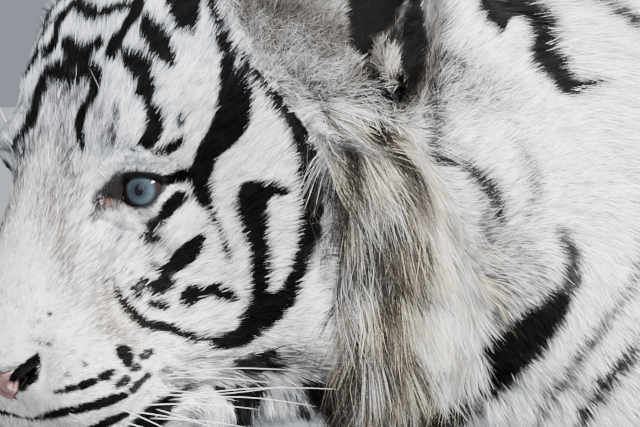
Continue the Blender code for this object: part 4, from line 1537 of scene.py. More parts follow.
def new_material(name, roughness, specular=0.3):
    made = bpy.data.materials.new(name)
    made.use_nodes = True
    shader = made.node_tree.nodes["Principled BSDF"]
    shader.inputs["Roughness"].default_value = roughness
    shader.inputs["Specular IOR Level"].default_value = specular
    return made, made.node_tree, shader


def link(tree, source, target):
    tree.links.new(source, target)


def noise_node(tree, scale, detail=2.0, stretch=None):
    """A noise texture on the object's own coordinates."""
    made = tree.nodes.new("ShaderNodeTexNoise")
    made.inputs["Scale"].default_value = scale
    made.inputs["Detail"].default_value = detail
    place = tree.nodes.new("ShaderNodeTexCoord")
    if stretch:
        mapping = tree.nodes.new("ShaderNodeMapping")
        mapping.inputs["Scale"].default_value = stretch
        link(tree, place.outputs["Object"], mapping.inputs["Vector"])
        link(tree, mapping.outputs["Vector"], made.inputs["Vector"])
    else:
        link(tree, place.outputs["Object"], made.inputs["Vector"])
    return made


def ranged(tree, value, low, high, start=0.3, end=0.7):
    made = tree.nodes.new("ShaderNodeMapRange")
    made.inputs["From Min"].default_value = start
    made.inputs["From Max"].default_value = end
    made.inputs["To Min"].default_value = low
    made.inputs["To Max"].default_value = high
    link(tree, value, made.inputs["Value"])
    return made.outputs["Result"]


def painted(tree, shader, low, high, scale):
    """The Coat colours, made a little lighter and darker by a noise."""
    colour = tree.nodes.new("ShaderNodeVertexColor")
    colour.layer_name = "Coat"
    shade = tree.nodes.new("ShaderNodeHueSaturation")
    link(tree, colour.outputs["Color"], shade.inputs["Color"])
    noise_made = noise_node(tree, scale)
    link(tree, ranged(tree, noise_made.outputs["Fac"], low, high), shade.inputs["Value"])
    link(tree, shade.outputs["Color"], shader.inputs["Base Color"])


def bumped(tree, shader, scale, strength, distance, stretch=None):
    bump = tree.nodes.new("ShaderNodeBump")
    bump.inputs["Strength"].default_value = strength
    bump.inputs["Distance"].default_value = distance
    grain = noise_node(tree, scale, 3.0, stretch)
    link(tree, grain.outputs["Fac"], bump.inputs["Height"])
    link(tree, bump.outputs["Normal"], shader.inputs["Normal"])


def two_tones(tree, shader, first, second, scale, detail=2.0, stretch=None):
    """A base colour that drifts between two tones."""
    colour = tree.nodes.new("ShaderNodeValToRGB")
    colour.color_ramp.elements[0].color = (*first, 1)
    colour.color_ramp.elements[1].color = (*second, 1)
    link(tree, noise_node(tree, scale, detail, stretch).outputs["Fac"], colour.inputs["Fac"])
    link(tree, colour.outputs["Color"], shader.inputs["Base Color"])


def coat_finish():
    made, tree, shader = new_material("coat_hair", 0.60, 0.04)
    painted(tree, shader, 0.93, 1.05, 60.0)
    return made


def skin_finish():
    made, tree, shader = new_material("coat_skin", 0.80, 0.02)
    painted(tree, shader, 0.86, 1.04, 220.0)
    bumped(tree, shader, 420.0, 0.5, 0.0012, (1.0, 0.35, 1.0))
    return made


def lid_finish():
    made, tree, shader = new_material("lid_skin", 0.50, 0.14)
    painted(tree, shader, 0.85, 1.05, 500.0)
    bumped(tree, shader, 900.0, 0.25, 0.0004)
    return made


def leather_finish():
    made, tree, shader = new_material("nose_skin", 0.46, 0.4)
    painted(tree, shader, 0.80, 1.08, 260.0)
    cells = tree.nodes.new("ShaderNodeTexVoronoi")
    cells.inputs["Scale"].default_value = 900.0
    place = tree.nodes.new("ShaderNodeTexCoord")
    link(tree, place.outputs["Object"], cells.inputs["Vector"])
    bump = tree.nodes.new("ShaderNodeBump")
    bump.inputs["Strength"].default_value = 0.5
    bump.inputs["Distance"].default_value = 0.0006
    link(tree, cells.outputs["Distance"], bump.inputs["Height"])
    link(tree, bump.outputs["Normal"], shader.inputs["Normal"])
    return made


def eye_finish():
    made, tree, shader = new_material("eye_wet", 0.4, 0.0)
    painted(tree, shader, 0.92, 1.06, 900.0)
    shader.inputs["Coat Weight"].default_value = 0.16
    shader.inputs["Coat Roughness"].default_value = 0.02
    shader.inputs["Coat IOR"].default_value = 1.38
    return made


def whisker_finish():
    made, tree, shader = new_material("whisker_hair", 0.35, 0.5)
    two_tones(tree, shader, (0.72, 0.71, 0.69), (0.92, 0.91, 0.90), 90.0)
    return made


def claw_finish():
    made, tree, shader = new_material("claw_horn", 0.3, 0.5)
    two_tones(tree, shader, (0.30, 0.24, 0.18), (0.62, 0.55, 0.45), 70.0, 3.0, (1, 1, 4))
    bumped(tree, shader, 300.0, 0.2, 0.0003, (4, 4, 0.6))
    return made


# ------------------------------------------------------------ eyes and lids


# the near eye's opening on the cheek plane, in millimetres from the middle of the iris: the inner
# corner, over the upper lid to the outer corner, and back along the lower lid
OPENING = np.array(
    [(-13.8, -6), (-12.9, 0), (-11.2, 4.8), (-8, 8), (-3.5, 9), (1, 8.7), (5.5, 7.8), (9.5, 6.8)]
    + [(13.2, 4.8), (12.4, 1.4), (10.6, -2.6), (8.2, -6.4), (4.6, -9.2), (0.2, -10.3), (-4.6, -10.2)]
    + [(-9.6, -8.8)]
)
IRIS_ANGLE = math.radians(35)


def closed_curve(corners, count):
    """A smooth closed curve through the corners."""
    total = len(corners)
    found = []
    for i in range(count):
        place = i * total / count
        first = int(place)
        t = place - first
        a, b, c, d = (corners[(first + k) % total] for k in (-1, 0, 1, 2))
        found.append(
            b + 0.5 * t * (c - a + t * (2 * a - 5 * b + 4 * c - d + t * (3 * (b - c) + d - a)))
        )
    return np.array(found)


OPENING_EDGE = closed_curve(OPENING, 96) * MM


def eye_axes(side):
    """Right, up and out of the eye's opening, in space, for that side's eye."""
    flip = np.array([side, 1, 1])
    return [HEAD_AXES @ ((axis @ HEAD_AXES) * flip) for axis in (ACROSS, UPWARD, BACK)]


def iris_spot(side):
    flip = np.array([side, 1, 1])
    local = EYES_MIDDLE + np.array([EYE_SPREAD, 0, 0]) + unit(GAZE) * EYE_RADIUS
    return from_head(local * flip)


def outside_opening(flat):
    """How far each place on an eye's plane is outside its opening; negative inside. In metres."""
    ends = np.roll(OPENING_EDGE, -1, 0)
    best = np.full(len(flat), 1e9)
    crossings = np.zeros(len(flat), int)
    for start, end in zip(OPENING_EDGE, ends):
        span = end - start
        t = np.clip((flat - start) @ span / (span @ span), 0, 1)
        best = np.minimum(best, np.linalg.norm(flat - start - t[:, None] * span, axis=1))
        straddles = (start[1] > flat[:, 1]) != (end[1] > flat[:, 1])
        slope = span[0] / (span[1] if abs(span[1]) > 1e-12 else 1e-12)
        crossings += straddles & (flat[:, 0] < start[0] + (flat[:, 1] - start[1]) * slope)
    return np.where(crossings % 2 == 1, -best, best)


def eye_plane(points, side):
    """(right, up, out) of points from the middle of an eye's iris."""
    across, up, out = eye_axes(side)
    away = points - iris_spot(side)
    return np.stack([away @ across, away @ up, away @ out], -1)


# distance outside the opening and height over the lid's own slope, in millimetres
LID_RINGS = (
    *((-5.0, -7.5), (-2.5, -4.0), (-0.8, -1.6), (0.0, -0.2), (0.7, 0.9), (1.6, 1.5), (2.8, 1.7)),
    *((4.2, 1.3), (5.8, 0.7), (7.6, 0.5), (9.6, 0.5), (11.8, 0.3), (14.0, -0.2), (16.0, -1.8)),
)
LID_REACH = 13.0 * MM


def lid_surface(side, skin_tree):
    """The lids of one eye, from inside its opening out to under the skin round it."""
    across, up, out = eye_axes(side)
    iris = iris_spot(side)
    ball = eye_plane(eye_middle(side)[None], side)[0]
    after = np.roll(OPENING_EDGE, -1, 0) - np.roll(OPENING_EDGE, 1, 0)
    outward = unit(np.stack([-after[:, 1], after[:, 0]], -1))
    if (outward * OPENING_EDGE).sum() < 0:
        outward = -outward
    radius = EYE_RADIUS + 0.0006

    def ball_depth(flat):
        away = np.linalg.norm(flat - ball[:2], axis=1)
        return ball[2] + np.sqrt(np.maximum(radius**2 - away**2, (0.30 * radius) ** 2))

    def skin_depth(flat):
        found = []
        for a, b in flat:
            start = iris + across * a + up * b + out * 0.06
            hit, _, _, _ = skin_tree.ray_cast(Vector(start), Vector(-out))
            found.append(0.06 - (Vector(start) - hit).length if hit else np.nan)
        found = np.array(found)
        return np.where(np.isnan(found), np.nanmean(found), found)

    edge_depth = np.maximum(ball_depth(OPENING_EDGE), skin_depth(OPENING_EDGE) - 0.0045)
    upper = ramp(outward[:, 1], -0.2, 0.5)
    rows = []
    for away, rise in LID_RINGS:
        flat = OPENING_EDGE + outward * away * MM
        share = ramp(np.full(len(flat), away * MM), 0.0, LID_REACH)
        depth = edge_depth * (1 - share) + (skin_depth(flat) if away > 0 else edge_depth) * share
        swell = 2.4 * math.sin(math.pi * min(max(away / 13, 0), 1))
        fold = 0.5 * (math.exp(-(((away - 3.0) / 1.4) ** 2)) - math.exp(-(((away - 5.4) / 1.0) ** 2)))
        depth = depth + (rise * (1 + 0.35 * upper) + (swell + fold) * upper) * MM
        rows.append(iris + flat[:, :1] * across + flat[:, 1:] * up + depth[:, None] * out)
    count = len(OPENING_EDGE)
    faces = []
    for a, b, c, d in ring_quads(len(rows), count):
        faces += [(a, b, c), (a, c, d)]
    made = Surface(np.concatenate(rows), np.array(faces))
    if (made.normals() @ out).mean() < 0:
        made.triangles = made.triangles[:, ::-1].copy()
    rings = np.repeat(np.array([ring[0] for ring in LID_RINGS]), count) * MM
    return made, rings


# the dark skin of the eye's inner corner, and painted shade under the lower lid, in millimetres from the
# middle of the iris
INNER_DARK = (
    stripe(0.97, 1.2, (-9.5, 10.0, 2.0), (-12.5, 6.0, 4.0), (-16.0, 0.0, 5.5), (-20.5, -6.0, 5.6)),
    stripe(0.97, 1.2, (-20.5, -6.0, 5.6), (-25.5, -10.8, 4.0), (-31.0, -15.0, 1.5)),
    stripe(0.9, 1.5, (-17.0, -8.0, 4.0), (-11.0, -10.0, 2.4), (-5.0, -12.0, 1.4)),
    stripe(0.9, 2.0, (-29.0, -12.5, 2.5), (-21.0, -13.5, 4.0), (-13.5, -13.5, 2.4)),
    # painted shade under the lower lid
    stripe(0.55, 1.5, (-9.0, -13.5, 1.6), (4.0, -13.0, 1.2)),
    stripe(0.6, 2.0, (-24.0, -15.0, 3.0), (-28.0, -21.0, 1.5)),
    stripe(0.85, 2.0, (-27.0, -13.0, 4.0), (-30.0, -18.0, 3.0)),
)


def lid_colours(points, rings, side, dark, base):
    """The rims black, the inner corner brown and pink, and the coat's colours further out."""
    flat = eye_plane(points, side)
    plane = flat[:, :2] / MM
    colour = mixed(base, DARK, dark)
    upper = ramp(plane[:, 1], -4.0, 3.0)
    thick = upper * (1 + 0.6 * ramp(plane[:, 0], 2.0, 9.0))
    rim = 1 - ramp(rings / MM, 1.3 + 0.9 * thick, 2.6 + 1.4 * thick)
    colour = mixed(colour, LID_RIM, rim)
    colour = mixed(colour, LID_CORNER, darkness(plane, INNER_DARK))
    pink = near(plane, (-19.5, -9.5), (2.6, 2.0))
    return mixed(colour, LID_PINK, pink * 0.8)


def eyeball(name, side):
    """An eyeball with its iris, pupil and the swell of its cornea."""
    turns = 112
    middle = eye_middle(side)
    across, up, _ = eye_axes(side)
    pole = unit(HEAD_AXES @ (unit(GAZE) * np.array([side, 1, 1])) - across * 0.05)
    right = unit(across - pole * (across @ pole))
    above = np.cross(pole, right)
    if above @ up < 0:
        above = -above
    front = np.linspace(0, 1.15 * IRIS_ANGLE, 44)
    angles = np.concatenate([front, np.linspace(1.2 * IRIS_ANGLE, math.pi, 22)])
    rows, colours = [], []
    rng = np.random.default_rng(21)
    turn = np.arange(turns) / turns * 2 * math.pi
    fibres = np.convolve(rng.normal(size=turns + 4), [0.2, 0.3, 0.3, 0.2], mode="same")[:turns]
    for angle in angles:
        share = angle / IRIS_ANGLE
        swell = 0.0006 * max(0.0, 1 - share**2)
        radius = EYE_RADIUS - 0.0002 + swell
        wide = math.sin(angle) * radius
        circle = right[None] * np.cos(turn)[:, None] + above[None] * np.sin(turn)[:, None]
        rows.append(middle + pole * math.cos(angle) * radius + circle * wide)
        reach = share * np.sqrt((np.cos(turn) / 0.29) ** 2 + (np.sin(turn) / 0.35) ** 2)
        iris = mixed(IRIS_INNER, IRIS_OUTER, ramp(share, 0.35, 0.8))
        iris = iris * (1 + 0.16 * fibres[:, None] * math.sin(min(share, 1) * math.pi))
        # painted shadow of the upper lid: the iris darker above and lighter below
        iris = iris * (0.86 - 0.42 * np.sin(turn)[:, None] * min(share, 1))
        iris = mixed(iris, IRIS_EDGE, ramp(share, 0.84, 0.97))
        iris = mixed(iris, EYE_WHITE, ramp(share, 1.0, 1.08))
        colours.append(mixed(iris, PUPIL, 1 - ramp(reach, 0.93, 1.05)))
    obj = plain_mesh("eyeball_" + name, np.concatenate(rows), ring_quads(len(rows), turns))
    bm = bmesh.new()
    bm.from_mesh(obj.data)
    bmesh.ops.recalc_face_normals(bm, faces=bm.faces[:])
    bm.to_mesh(obj.data)
    bm.free()
    put_colours(obj, np.concatenate(colours))
    obj.data.materials.append(EYE_LOOK)
    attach(obj, "root")
    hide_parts("eye_" + name)
    return obj


# ------------------------------------------------------------ the nose leather


NOSE_TOP, NOSE_FOOT = -0.0440, -0.0690
# share of the way down and half width
NOSE_PROFILE = np.array(
    [[0.0, 0.0250], [0.12, 0.0315], [0.35, 0.0300], [0.6, 0.0140], [0.8, 0.0055], [1.0, 0.0030]]
)
# the dark skin over the nostril, on the cheek plane
NOSE_RIM = (stripe(1, 1.0, (-61.5, -98, 2), (-72, -103.5, 3.2), (-85, -109.0, 3.0)),)


def nose_leather(tree):
    """The bare tip of the nose, with both nostrils and the fold below them."""
    across, down = 97, 61
    points = []
    fore = -HEAD_AXES[:, 1]
    for j in range(down):
        v = j / (down - 1)
        half = np.interp(v, NOSE_PROFILE[:, 0], NOSE_PROFILE[:, 1])
        for i in range(across):
            u = i / (across - 1) * 2 - 1
            x = math.sin(u * 1.45) / math.sin(1.45) * half
            start = from_head(np.array([x, -0.25, NOSE_TOP + v * (NOSE_FOOT - NOSE_TOP)]))
            hit, _, _, _ = tree.ray_cast(Vector(start), Vector(-fore))
            edge = max(abs(u), abs(2 * v - 1))
            proud = 0.0016 - 0.0042 * max(0.0, (edge - 0.88) / 0.12) ** 2
            points.append(np.array(hit) + fore * proud)
    points = np.array(points)
    local = into_head(points)
    plane = on_cheek_plane(mirrored(points))
    hole = darkness(plane, NOSTRIL)
    soft = darkness(plane, [(1, 2.4, spots) for _, _, spots in NOSTRIL])
    groove = np.exp(-((local[:, 0] / 0.0012) ** 2)) * ramp(-local[:, 2], 0.046, 0.054)
    inward = unit(-np.sign(local[:, :1]) * np.array([[0.55, 0, 0]]) + np.array([[0, 0.8, 0.25]]))
    points = points + (inward @ HEAD_AXES.T) * (0.0085 * hole + 0.0012 * soft)[:, None]
    points = points - fore * (0.0020 * groove)[:, None]
    pink = mixed(NOSE_PALE, NOSE_DEEP, ramp(noise(points, 0.012, 9), 0, 1))
    pink = mixed(pink, DARK, 0.92 * darkness(plane, NOSE_RIM))
    # painted shade round and inside the nostril's opening
    pink = mixed(pink, DARK, 0.75 * soft)
    pink = mixed(pink, NOSTRIL_SHADE, hole)
    # painted shade in the groove down the middle
    pink = mixed(pink, DARK, 0.6 * groove)
    faces = []
    for j in range(down - 1):
        for i in range(across - 1):
            a = j * across + i
            faces.append((a, a + across, a + across + 1, a + 1))
    obj = plain_mesh("nose_leather", points, faces)
    put_colours(obj, pink)
    obj.data.materials.append(LEATHER_LOOK)
    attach(obj, "root")
    return obj


def under_leather(points, margin):
    """1 where the nose leather covers a place, 0 away from it."""
    local = into_head(points)
    v = (local[:, 2] - NOSE_TOP) / (NOSE_FOOT - NOSE_TOP)
    half = np.interp(v, NOSE_PROFILE[:, 0], NOSE_PROFILE[:, 1])
    inside = (local[:, 1] < -0.085) & (v > -0.06) & (v < 1.04)
    share = ramp(half + margin - np.abs(local[:, 0]), 0.0005, 0.0030)
    return share * ramp(v, -0.06, 0.06) * ramp(-v, -1.04, -0.94) * inside


def seat_nose(surface):
    """Sinks the skin behind the nose leather."""
    depth = 0.013 * under_leather(surface.points, 0.0)
    surface.points = surface.points + HEAD_AXES[:, 1] * depth[:, None]


# ------------------------------------------------------------ whiskers and claws


def tube(path, radii, sides=5):
    """Rings along a path, as points and faces; it ends in a point."""
    path = np.asarray(path)
    ways = unit(np.gradient(path, axis=0))
    side = unit(np.cross(ways, np.array([0.13, 0.2, 0.97])))
    other = np.cross(ways, side)
    points = []
    for place, a, b, radius in zip(path[:-1], side, other, radii):
        for k in range(sides):
            turn = 2 * math.pi * k / sides
            points.append(place + (a * math.cos(turn) + b * math.sin(turn)) * radius)
    points.append(path[-1])
    faces = ring_quads(len(path) - 1, sides)
    last = (len(path) - 2) * sides
    for k in range(sides):
        faces.append((last + k, last + (k + 1) % sides, len(points) - 1))
    faces.append(tuple(range(sides))[::-1])
    return points, faces


def joined_tubes(name, tubes, finish):
    """Tubes as one piece, with each one's own patch of its OFBake map."""
    points, faces, patches = [], [], []
    for part_points, part_faces in tubes:
        first = len(points)
        for a, *others in part_faces:
            faces += [(a + first, b + first, c + first) for b, c in zip(others[:-1], others[1:])]
        place = patches_of(np.array(part_points[:1]), "head")[0]
        along = np.linspace(-PATCH_REACH, PATCH_REACH, len(part_points))
        patches += [place + (PATCH_REACH * (-1) ** k, run) for k, run in enumerate(along)]
        points += part_points
    white = np.full((len(points), 3), 0.85)
    obj = triangle_mesh(name, np.array(points), np.array(faces), white, np.array(patches))
    shade_smooth(obj.data)
    obj.data.materials.append(finish)
    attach(obj, "root")
    return obj


def cheek_ray(tree, plane):
    """The place on the skin that a place on the cheek plane is seen at, or None."""
    spot = NEAR_IRIS + (ACROSS * plane[0] + UPWARD * plane[1]) * MM
    way = unit(spot - CAMERA_PLACE)
    hit, _, _, _ = tree.ray_cast(Vector(CAMERA_PLACE), Vector(way))
    return np.array(hit) if hit else None


# root and tip on the cheek plane, sag of the middle, all in millimetres
WHISKERS = (
    ((11, -112), (90, -107), 3),
    ((12, -113), (80, -115), 2),
    ((10, -123), (91, -116), -2),
    ((16, -126), (107, -129), 4),
    ((2, -129), (72, -131), 2),
    ((-4, -133), (44, -141), 1),
    ((8, -131), (66, -152), 2),
    ((-10, -139), (50, -158), 1),
    ((20, -124), (120, -118), 3),
    ((4, -120), (60, -126), 2),
    ((-12, -131), (30, -150), 1),
    ((6, -137), (84, -146), 3),
)
BROW_HAIRS = (
    ((-8, 20), (-30, 74), 3),
    ((-4, 22), (-14, 84), 4),
)


def long_hairs(tree, hairs, thick, outward, rng):
    """Whiskers or hairs of the brow as tubes, and the same mirrored to the far side."""
    made = []
    for root, tip, sag in hairs:
        start = cheek_ray(tree, root)
        if start is None:
            continue
        run = (ACROSS * (tip[0] - root[0]) + UPWARD * (tip[1] - root[1])) * MM
        length = np.linalg.norm(run)
        reach = run + BACK * length * outward * rng.uniform(0.7, 1.2)
        path = []
        for t in np.linspace(0, 1, 11):
            arch = math.sin(math.pi * t)
            bow = UPWARD * sag * MM * arch + BACK * length * 0.06 * arch
            path.append(start + reach * t + bow)
        path = np.array(path)
        radii = np.linspace(thick, thick * 0.18, 11)
        made.append(tube(path, radii))
        local = into_head(path)
        local[:, 0] *= -1
        made.append(tube(from_head(local), radii))
    return made


def claws():
    """The tips of the claws, all but hidden between the toes."""
    made = []
    for name in PAWS:
        low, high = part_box(name)
        middle, width = (low.x + high.x) / 2, high.x - low.x
        for place, back in ((-1.5, 0.012), (-0.5, 0.001), (0.5, 0.001), (1.5, 0.012)):
            x = middle + place * width * TOE_SPACING
            y = low.y + back
            path = []
            for t in np.linspace(0, 1, 6):
                path.append((x, y + 0.010 - 0.0135 * math.sin(t * 1.5), 0.020 - 0.010 * t * t))
            made.append(tube(path, np.linspace(0.0028, 0.0006, 6), 8))
    return joined_tubes("claws", made, CLAW_LOOK)


# ------------------------------------------------------------ building it all


COAT_LOOK = coat_finish()
SKIN_LOOK = skin_finish()
LID_LOOK = lid_finish()
LEATHER_LOOK = leather_finish()
EYE_LOOK = eye_finish()
WHISKER_LOOK = whisker_finish()
CLAW_LOOK = claw_finish()


def owner_finder():
    """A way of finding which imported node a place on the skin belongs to."""
    points, faces, owner = [], [], []
    for number, name in enumerate(NODES):
        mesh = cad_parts[name].data
        mesh.calc_loop_triangles()
        start = len(points)
        points += [v.co[:] for v in mesh.vertices]
        faces += [tuple(i + start for i in tri.vertices) for tri in mesh.loop_triangles]
        owner += [number if name in FLESH else NODES.index("head")] * len(mesh.loop_triangles)
    return BVHTree.FromPolygons(points, faces), np.array(owner)


def owners_of(points, finder):
    tree, owner = finder
    return np.array([owner[tree.find_nearest(Vector(p))[2]] for p in points])


def build_skin(finder):
    surface = smooth_skin()
    hollow_ears(surface)
    shape_ear_fronts(surface)
    shape_face(surface)
    shape_ruff(surface)
    shape_toes(surface)
    owners = owners_of(surface.points, finder)
    fields, way = coat_fields(surface, owners)
    surface.points = surface.points - surface.normals() * fields[:, 4:5]
    return surface, owners, fields, way


def seat_lids(surface):
    """Both eyes' lids, and the skin sunk behind them."""
    tree = surface.tree()
    lids = {}
    for name, side in SIDES.items():
        lids[name] = lid_surface(side, tree)
    gap = np.full(len(surface.points), 1.0)
    for side in SIDES.values():
        _, _, out = eye_axes(side)
        flat = eye_plane(surface.points, side)
        close = np.nonzero((np.linalg.norm(flat[:, :2], axis=1) < 0.045) & (flat[:, 2] > -0.03))[0]
        away = outside_opening(flat[close, :2])
        gap[close] = np.minimum(gap[close], away)
        sink = 1 - ramp(away, 0.0085, 0.0145)
        surface.points[close] -= out * (0.010 * sink)[:, None]
    return lids, gap


# painted shade: the skin and the roots of the hair are darker than the tips, as the coat shades them
PAINTED_ROOT_SHADE = 0.58  # how much darker the skin is than the tips of its hair


def skin_object(surface, dark, base):
    """The skin as one piece in place of every flesh node, which it hides."""
    # painted shade: the skin darker than the tips of its hair, as under the coat
    colours = mixed(base * PAINTED_ROOT_SHADE, DARK, dark)
    places = unwrap(surface.points, "trunk")
    obj = triangle_mesh("skin", surface.points, surface.triangles, colours, places)
    shade_smooth(obj.data)
    obj.data.materials.append(SKIN_LOOK)
    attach(obj, "root")
    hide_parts(*FLESH)
    return obj


PARTS = {
    "head": ("head", "lower_jaw", "nose"),
    "ear_left": ("ear_left",),
    "ear_right": ("ear_right",),
    "trunk": ("neck", "trunk"),
    "tail": ("tail_base", "tail_middle", "tail_tip"),
    "fore_left": ("upper_arm_left", "forearm_left", "fore_paw_left"),
    "fore_right": ("upper_arm_right", "forearm_right", "fore_paw_right"),
    "hind_left": ("thigh_left", "shank_left", "hind_paw_left"),
    "hind_right": ("thigh_right", "shank_right", "hind_paw_right"),
}


ROOT_DEPTH = 0.0008  # how far a hair's root lies below the skin
BRIGHTEST = 0.95  # the palest that a hair's tip may be


def swayed(ways, normals, angle):
    """Ways turned on the surface by an angle each."""
    side = np.cross(normals, ways)
    return unit(ways * np.cos(angle)[:, None] + side * np.sin(angle)[:, None])


def short_coat(surface, owners, fields, way, gap, rng, thinner):
    """The hair of the whole body but the ruff, one part after another."""
    normals = surface.normals()
    ruff = fields[:, 5]
    density = fields[:, 3] * (1 - ramp(ruff, 0.25, 0.8)) * ramp(gap, 0.0095, 0.0125) * thinner
    density = density * (1 - ramp(under_leather(surface.points, -0.0005), 0.3, 0.6))
    triangle, shares = scatter(surface, density, rng)
    owner = owners[surface.triangles[triangle, 0]]
    roots = spread(surface.points, surface, triangle, shares)
    out = unit(spread(normals, surface, triangle, shares))
    lie = along_skin(spread(way, surface, triangle, shares), out)
    values = spread(fields, surface, triangle, shares)
    count = len(roots)
    length = values[:, 0] * rng.uniform(0.72, 1.12, count)
    grizzle = values[:, 6]
    sway = 0.22 * noise(roots, 0.016, 31) + 0.16 * noise(roots, 0.006, 32)
    sway = sway + rng.normal(0, 0.13, count)
    sway = sway * (1 + 3.6 * grizzle) + 0.8 * grizzle * noise(roots, 0.010, 37)
    lie = swayed(lie, out, sway)
    lift = values[:, 1] * (1 + 0.35 * noise(roots, 0.012, 33))
    lift = lift * rng.uniform(0.6, 1.45 + 0.6 * grizzle)
    width = values[:, 2] * rng.uniform(0.75, 1.25, count)
    middles = roots + lie * (length * rng.uniform(0.50, 0.90, count))[:, None]
    dark = marking(middles, owner)
    dark = np.where(rng.random(count) < dark, np.maximum(dark, 0.88), dark * 0.35)
    base = ground(middles, owner)
    base = speckled(middles, base, values, rng)
    tone = hair_tones(middles, rng)
    grain = face_grain(middles) * (1 - grizzle)
    speckle = 0.9 * noise(middles, 0.0017, 61) + 0.6 * noise(middles, 0.0045, 62)
    speckle = speckle + rng.normal(0, 0.5, count)
    tone = tone * np.exp(0.9 * (grain + 0.25) * speckle * (owner == NODES.index("head")))
    # painted shade: each hair is darker at its root than at its tip, darker still in the grey tousled fur
    # and the tinted parts of the face
    deep = (PAINTED_ROOT_SHADE - 0.20 * grain - 0.50 * grizzle)[:, None]
    colour = mixed(base * deep, DARK, dark) * tone[:, None]
    tip = mixed(base * 1.06, DARK * 1.3, dark) * tone[:, None]
    for part, names in PARTS.items():
        chosen = np.nonzero(owned(owner, names))[0]
        hairs = Hairs(
            roots[chosen] - out[chosen] * ROOT_DEPTH,
            out[chosen],
            lie[chosen],
            length[chosen],
            lift[chosen],
            width[chosen],
            colour[chosen],
            np.clip(tip[chosen], 0, BRIGHTEST),
            patches_of(roots[chosen], part),
        )
        grow_coat("coat_" + part, hairs, 1, rng)


def hair_tones(places, rng):
    """How light each hair is: most are bright, a few much darker, and neighbours vary together."""
    single = 1.28 - 1.02 * rng.random(len(places)) ** 1.5
    clumps = 0.62 * noise(places, 0.0017, 34) + 0.32 * noise(places, 0.0042, 35)
    return single * (1 + (clumps + 0.12 * noise(places, 0.011, 36)))


def speckled(places, base, values, rng):
    """Grey fur as light and dark hairs side by side."""
    grizzle = values[:, 6]
    count = len(base)
    darker = rng.random(count) < 0.50 - 0.28 * noise(places, 0.008, 38)
    darker &= rng.random(count) < grizzle
    return np.where(darker[:, None], GRIZZLE * rng.uniform(0.3, 1.7, (count, 1)), base)


# colour, and the share of locks that take it at each distance behind the ruff's front edge
LOCK_TONES = (
    ((0.93, 0.92, 0.89), (0.66, 0.36, 0.12, 0.38, 0.68)),
    ((0.84, 0.74, 0.55), (0.06, 0.18, 0.18, 0.58, 0.32)),
    ((0.030, 0.025, 0.021), (0.20, 0.30, 0.42, 0.01, 0.00)),
    ((0.36, 0.28, 0.20), (0.06, 0.15, 0.26, 0.05, 0.00)),
    ((0.24, 0.15, 0.10), (0.02, 0.05, 0.10, 0.00, 0.00)),
)
LOCK_ZONES = (0.0, 20.0, 38.0, 54.0, 86.0)
# brown-grey of the ruff's darkened patches: brown fur and painted shade
SHADED_LOCK = np.array([0.085, 0.070, 0.058])


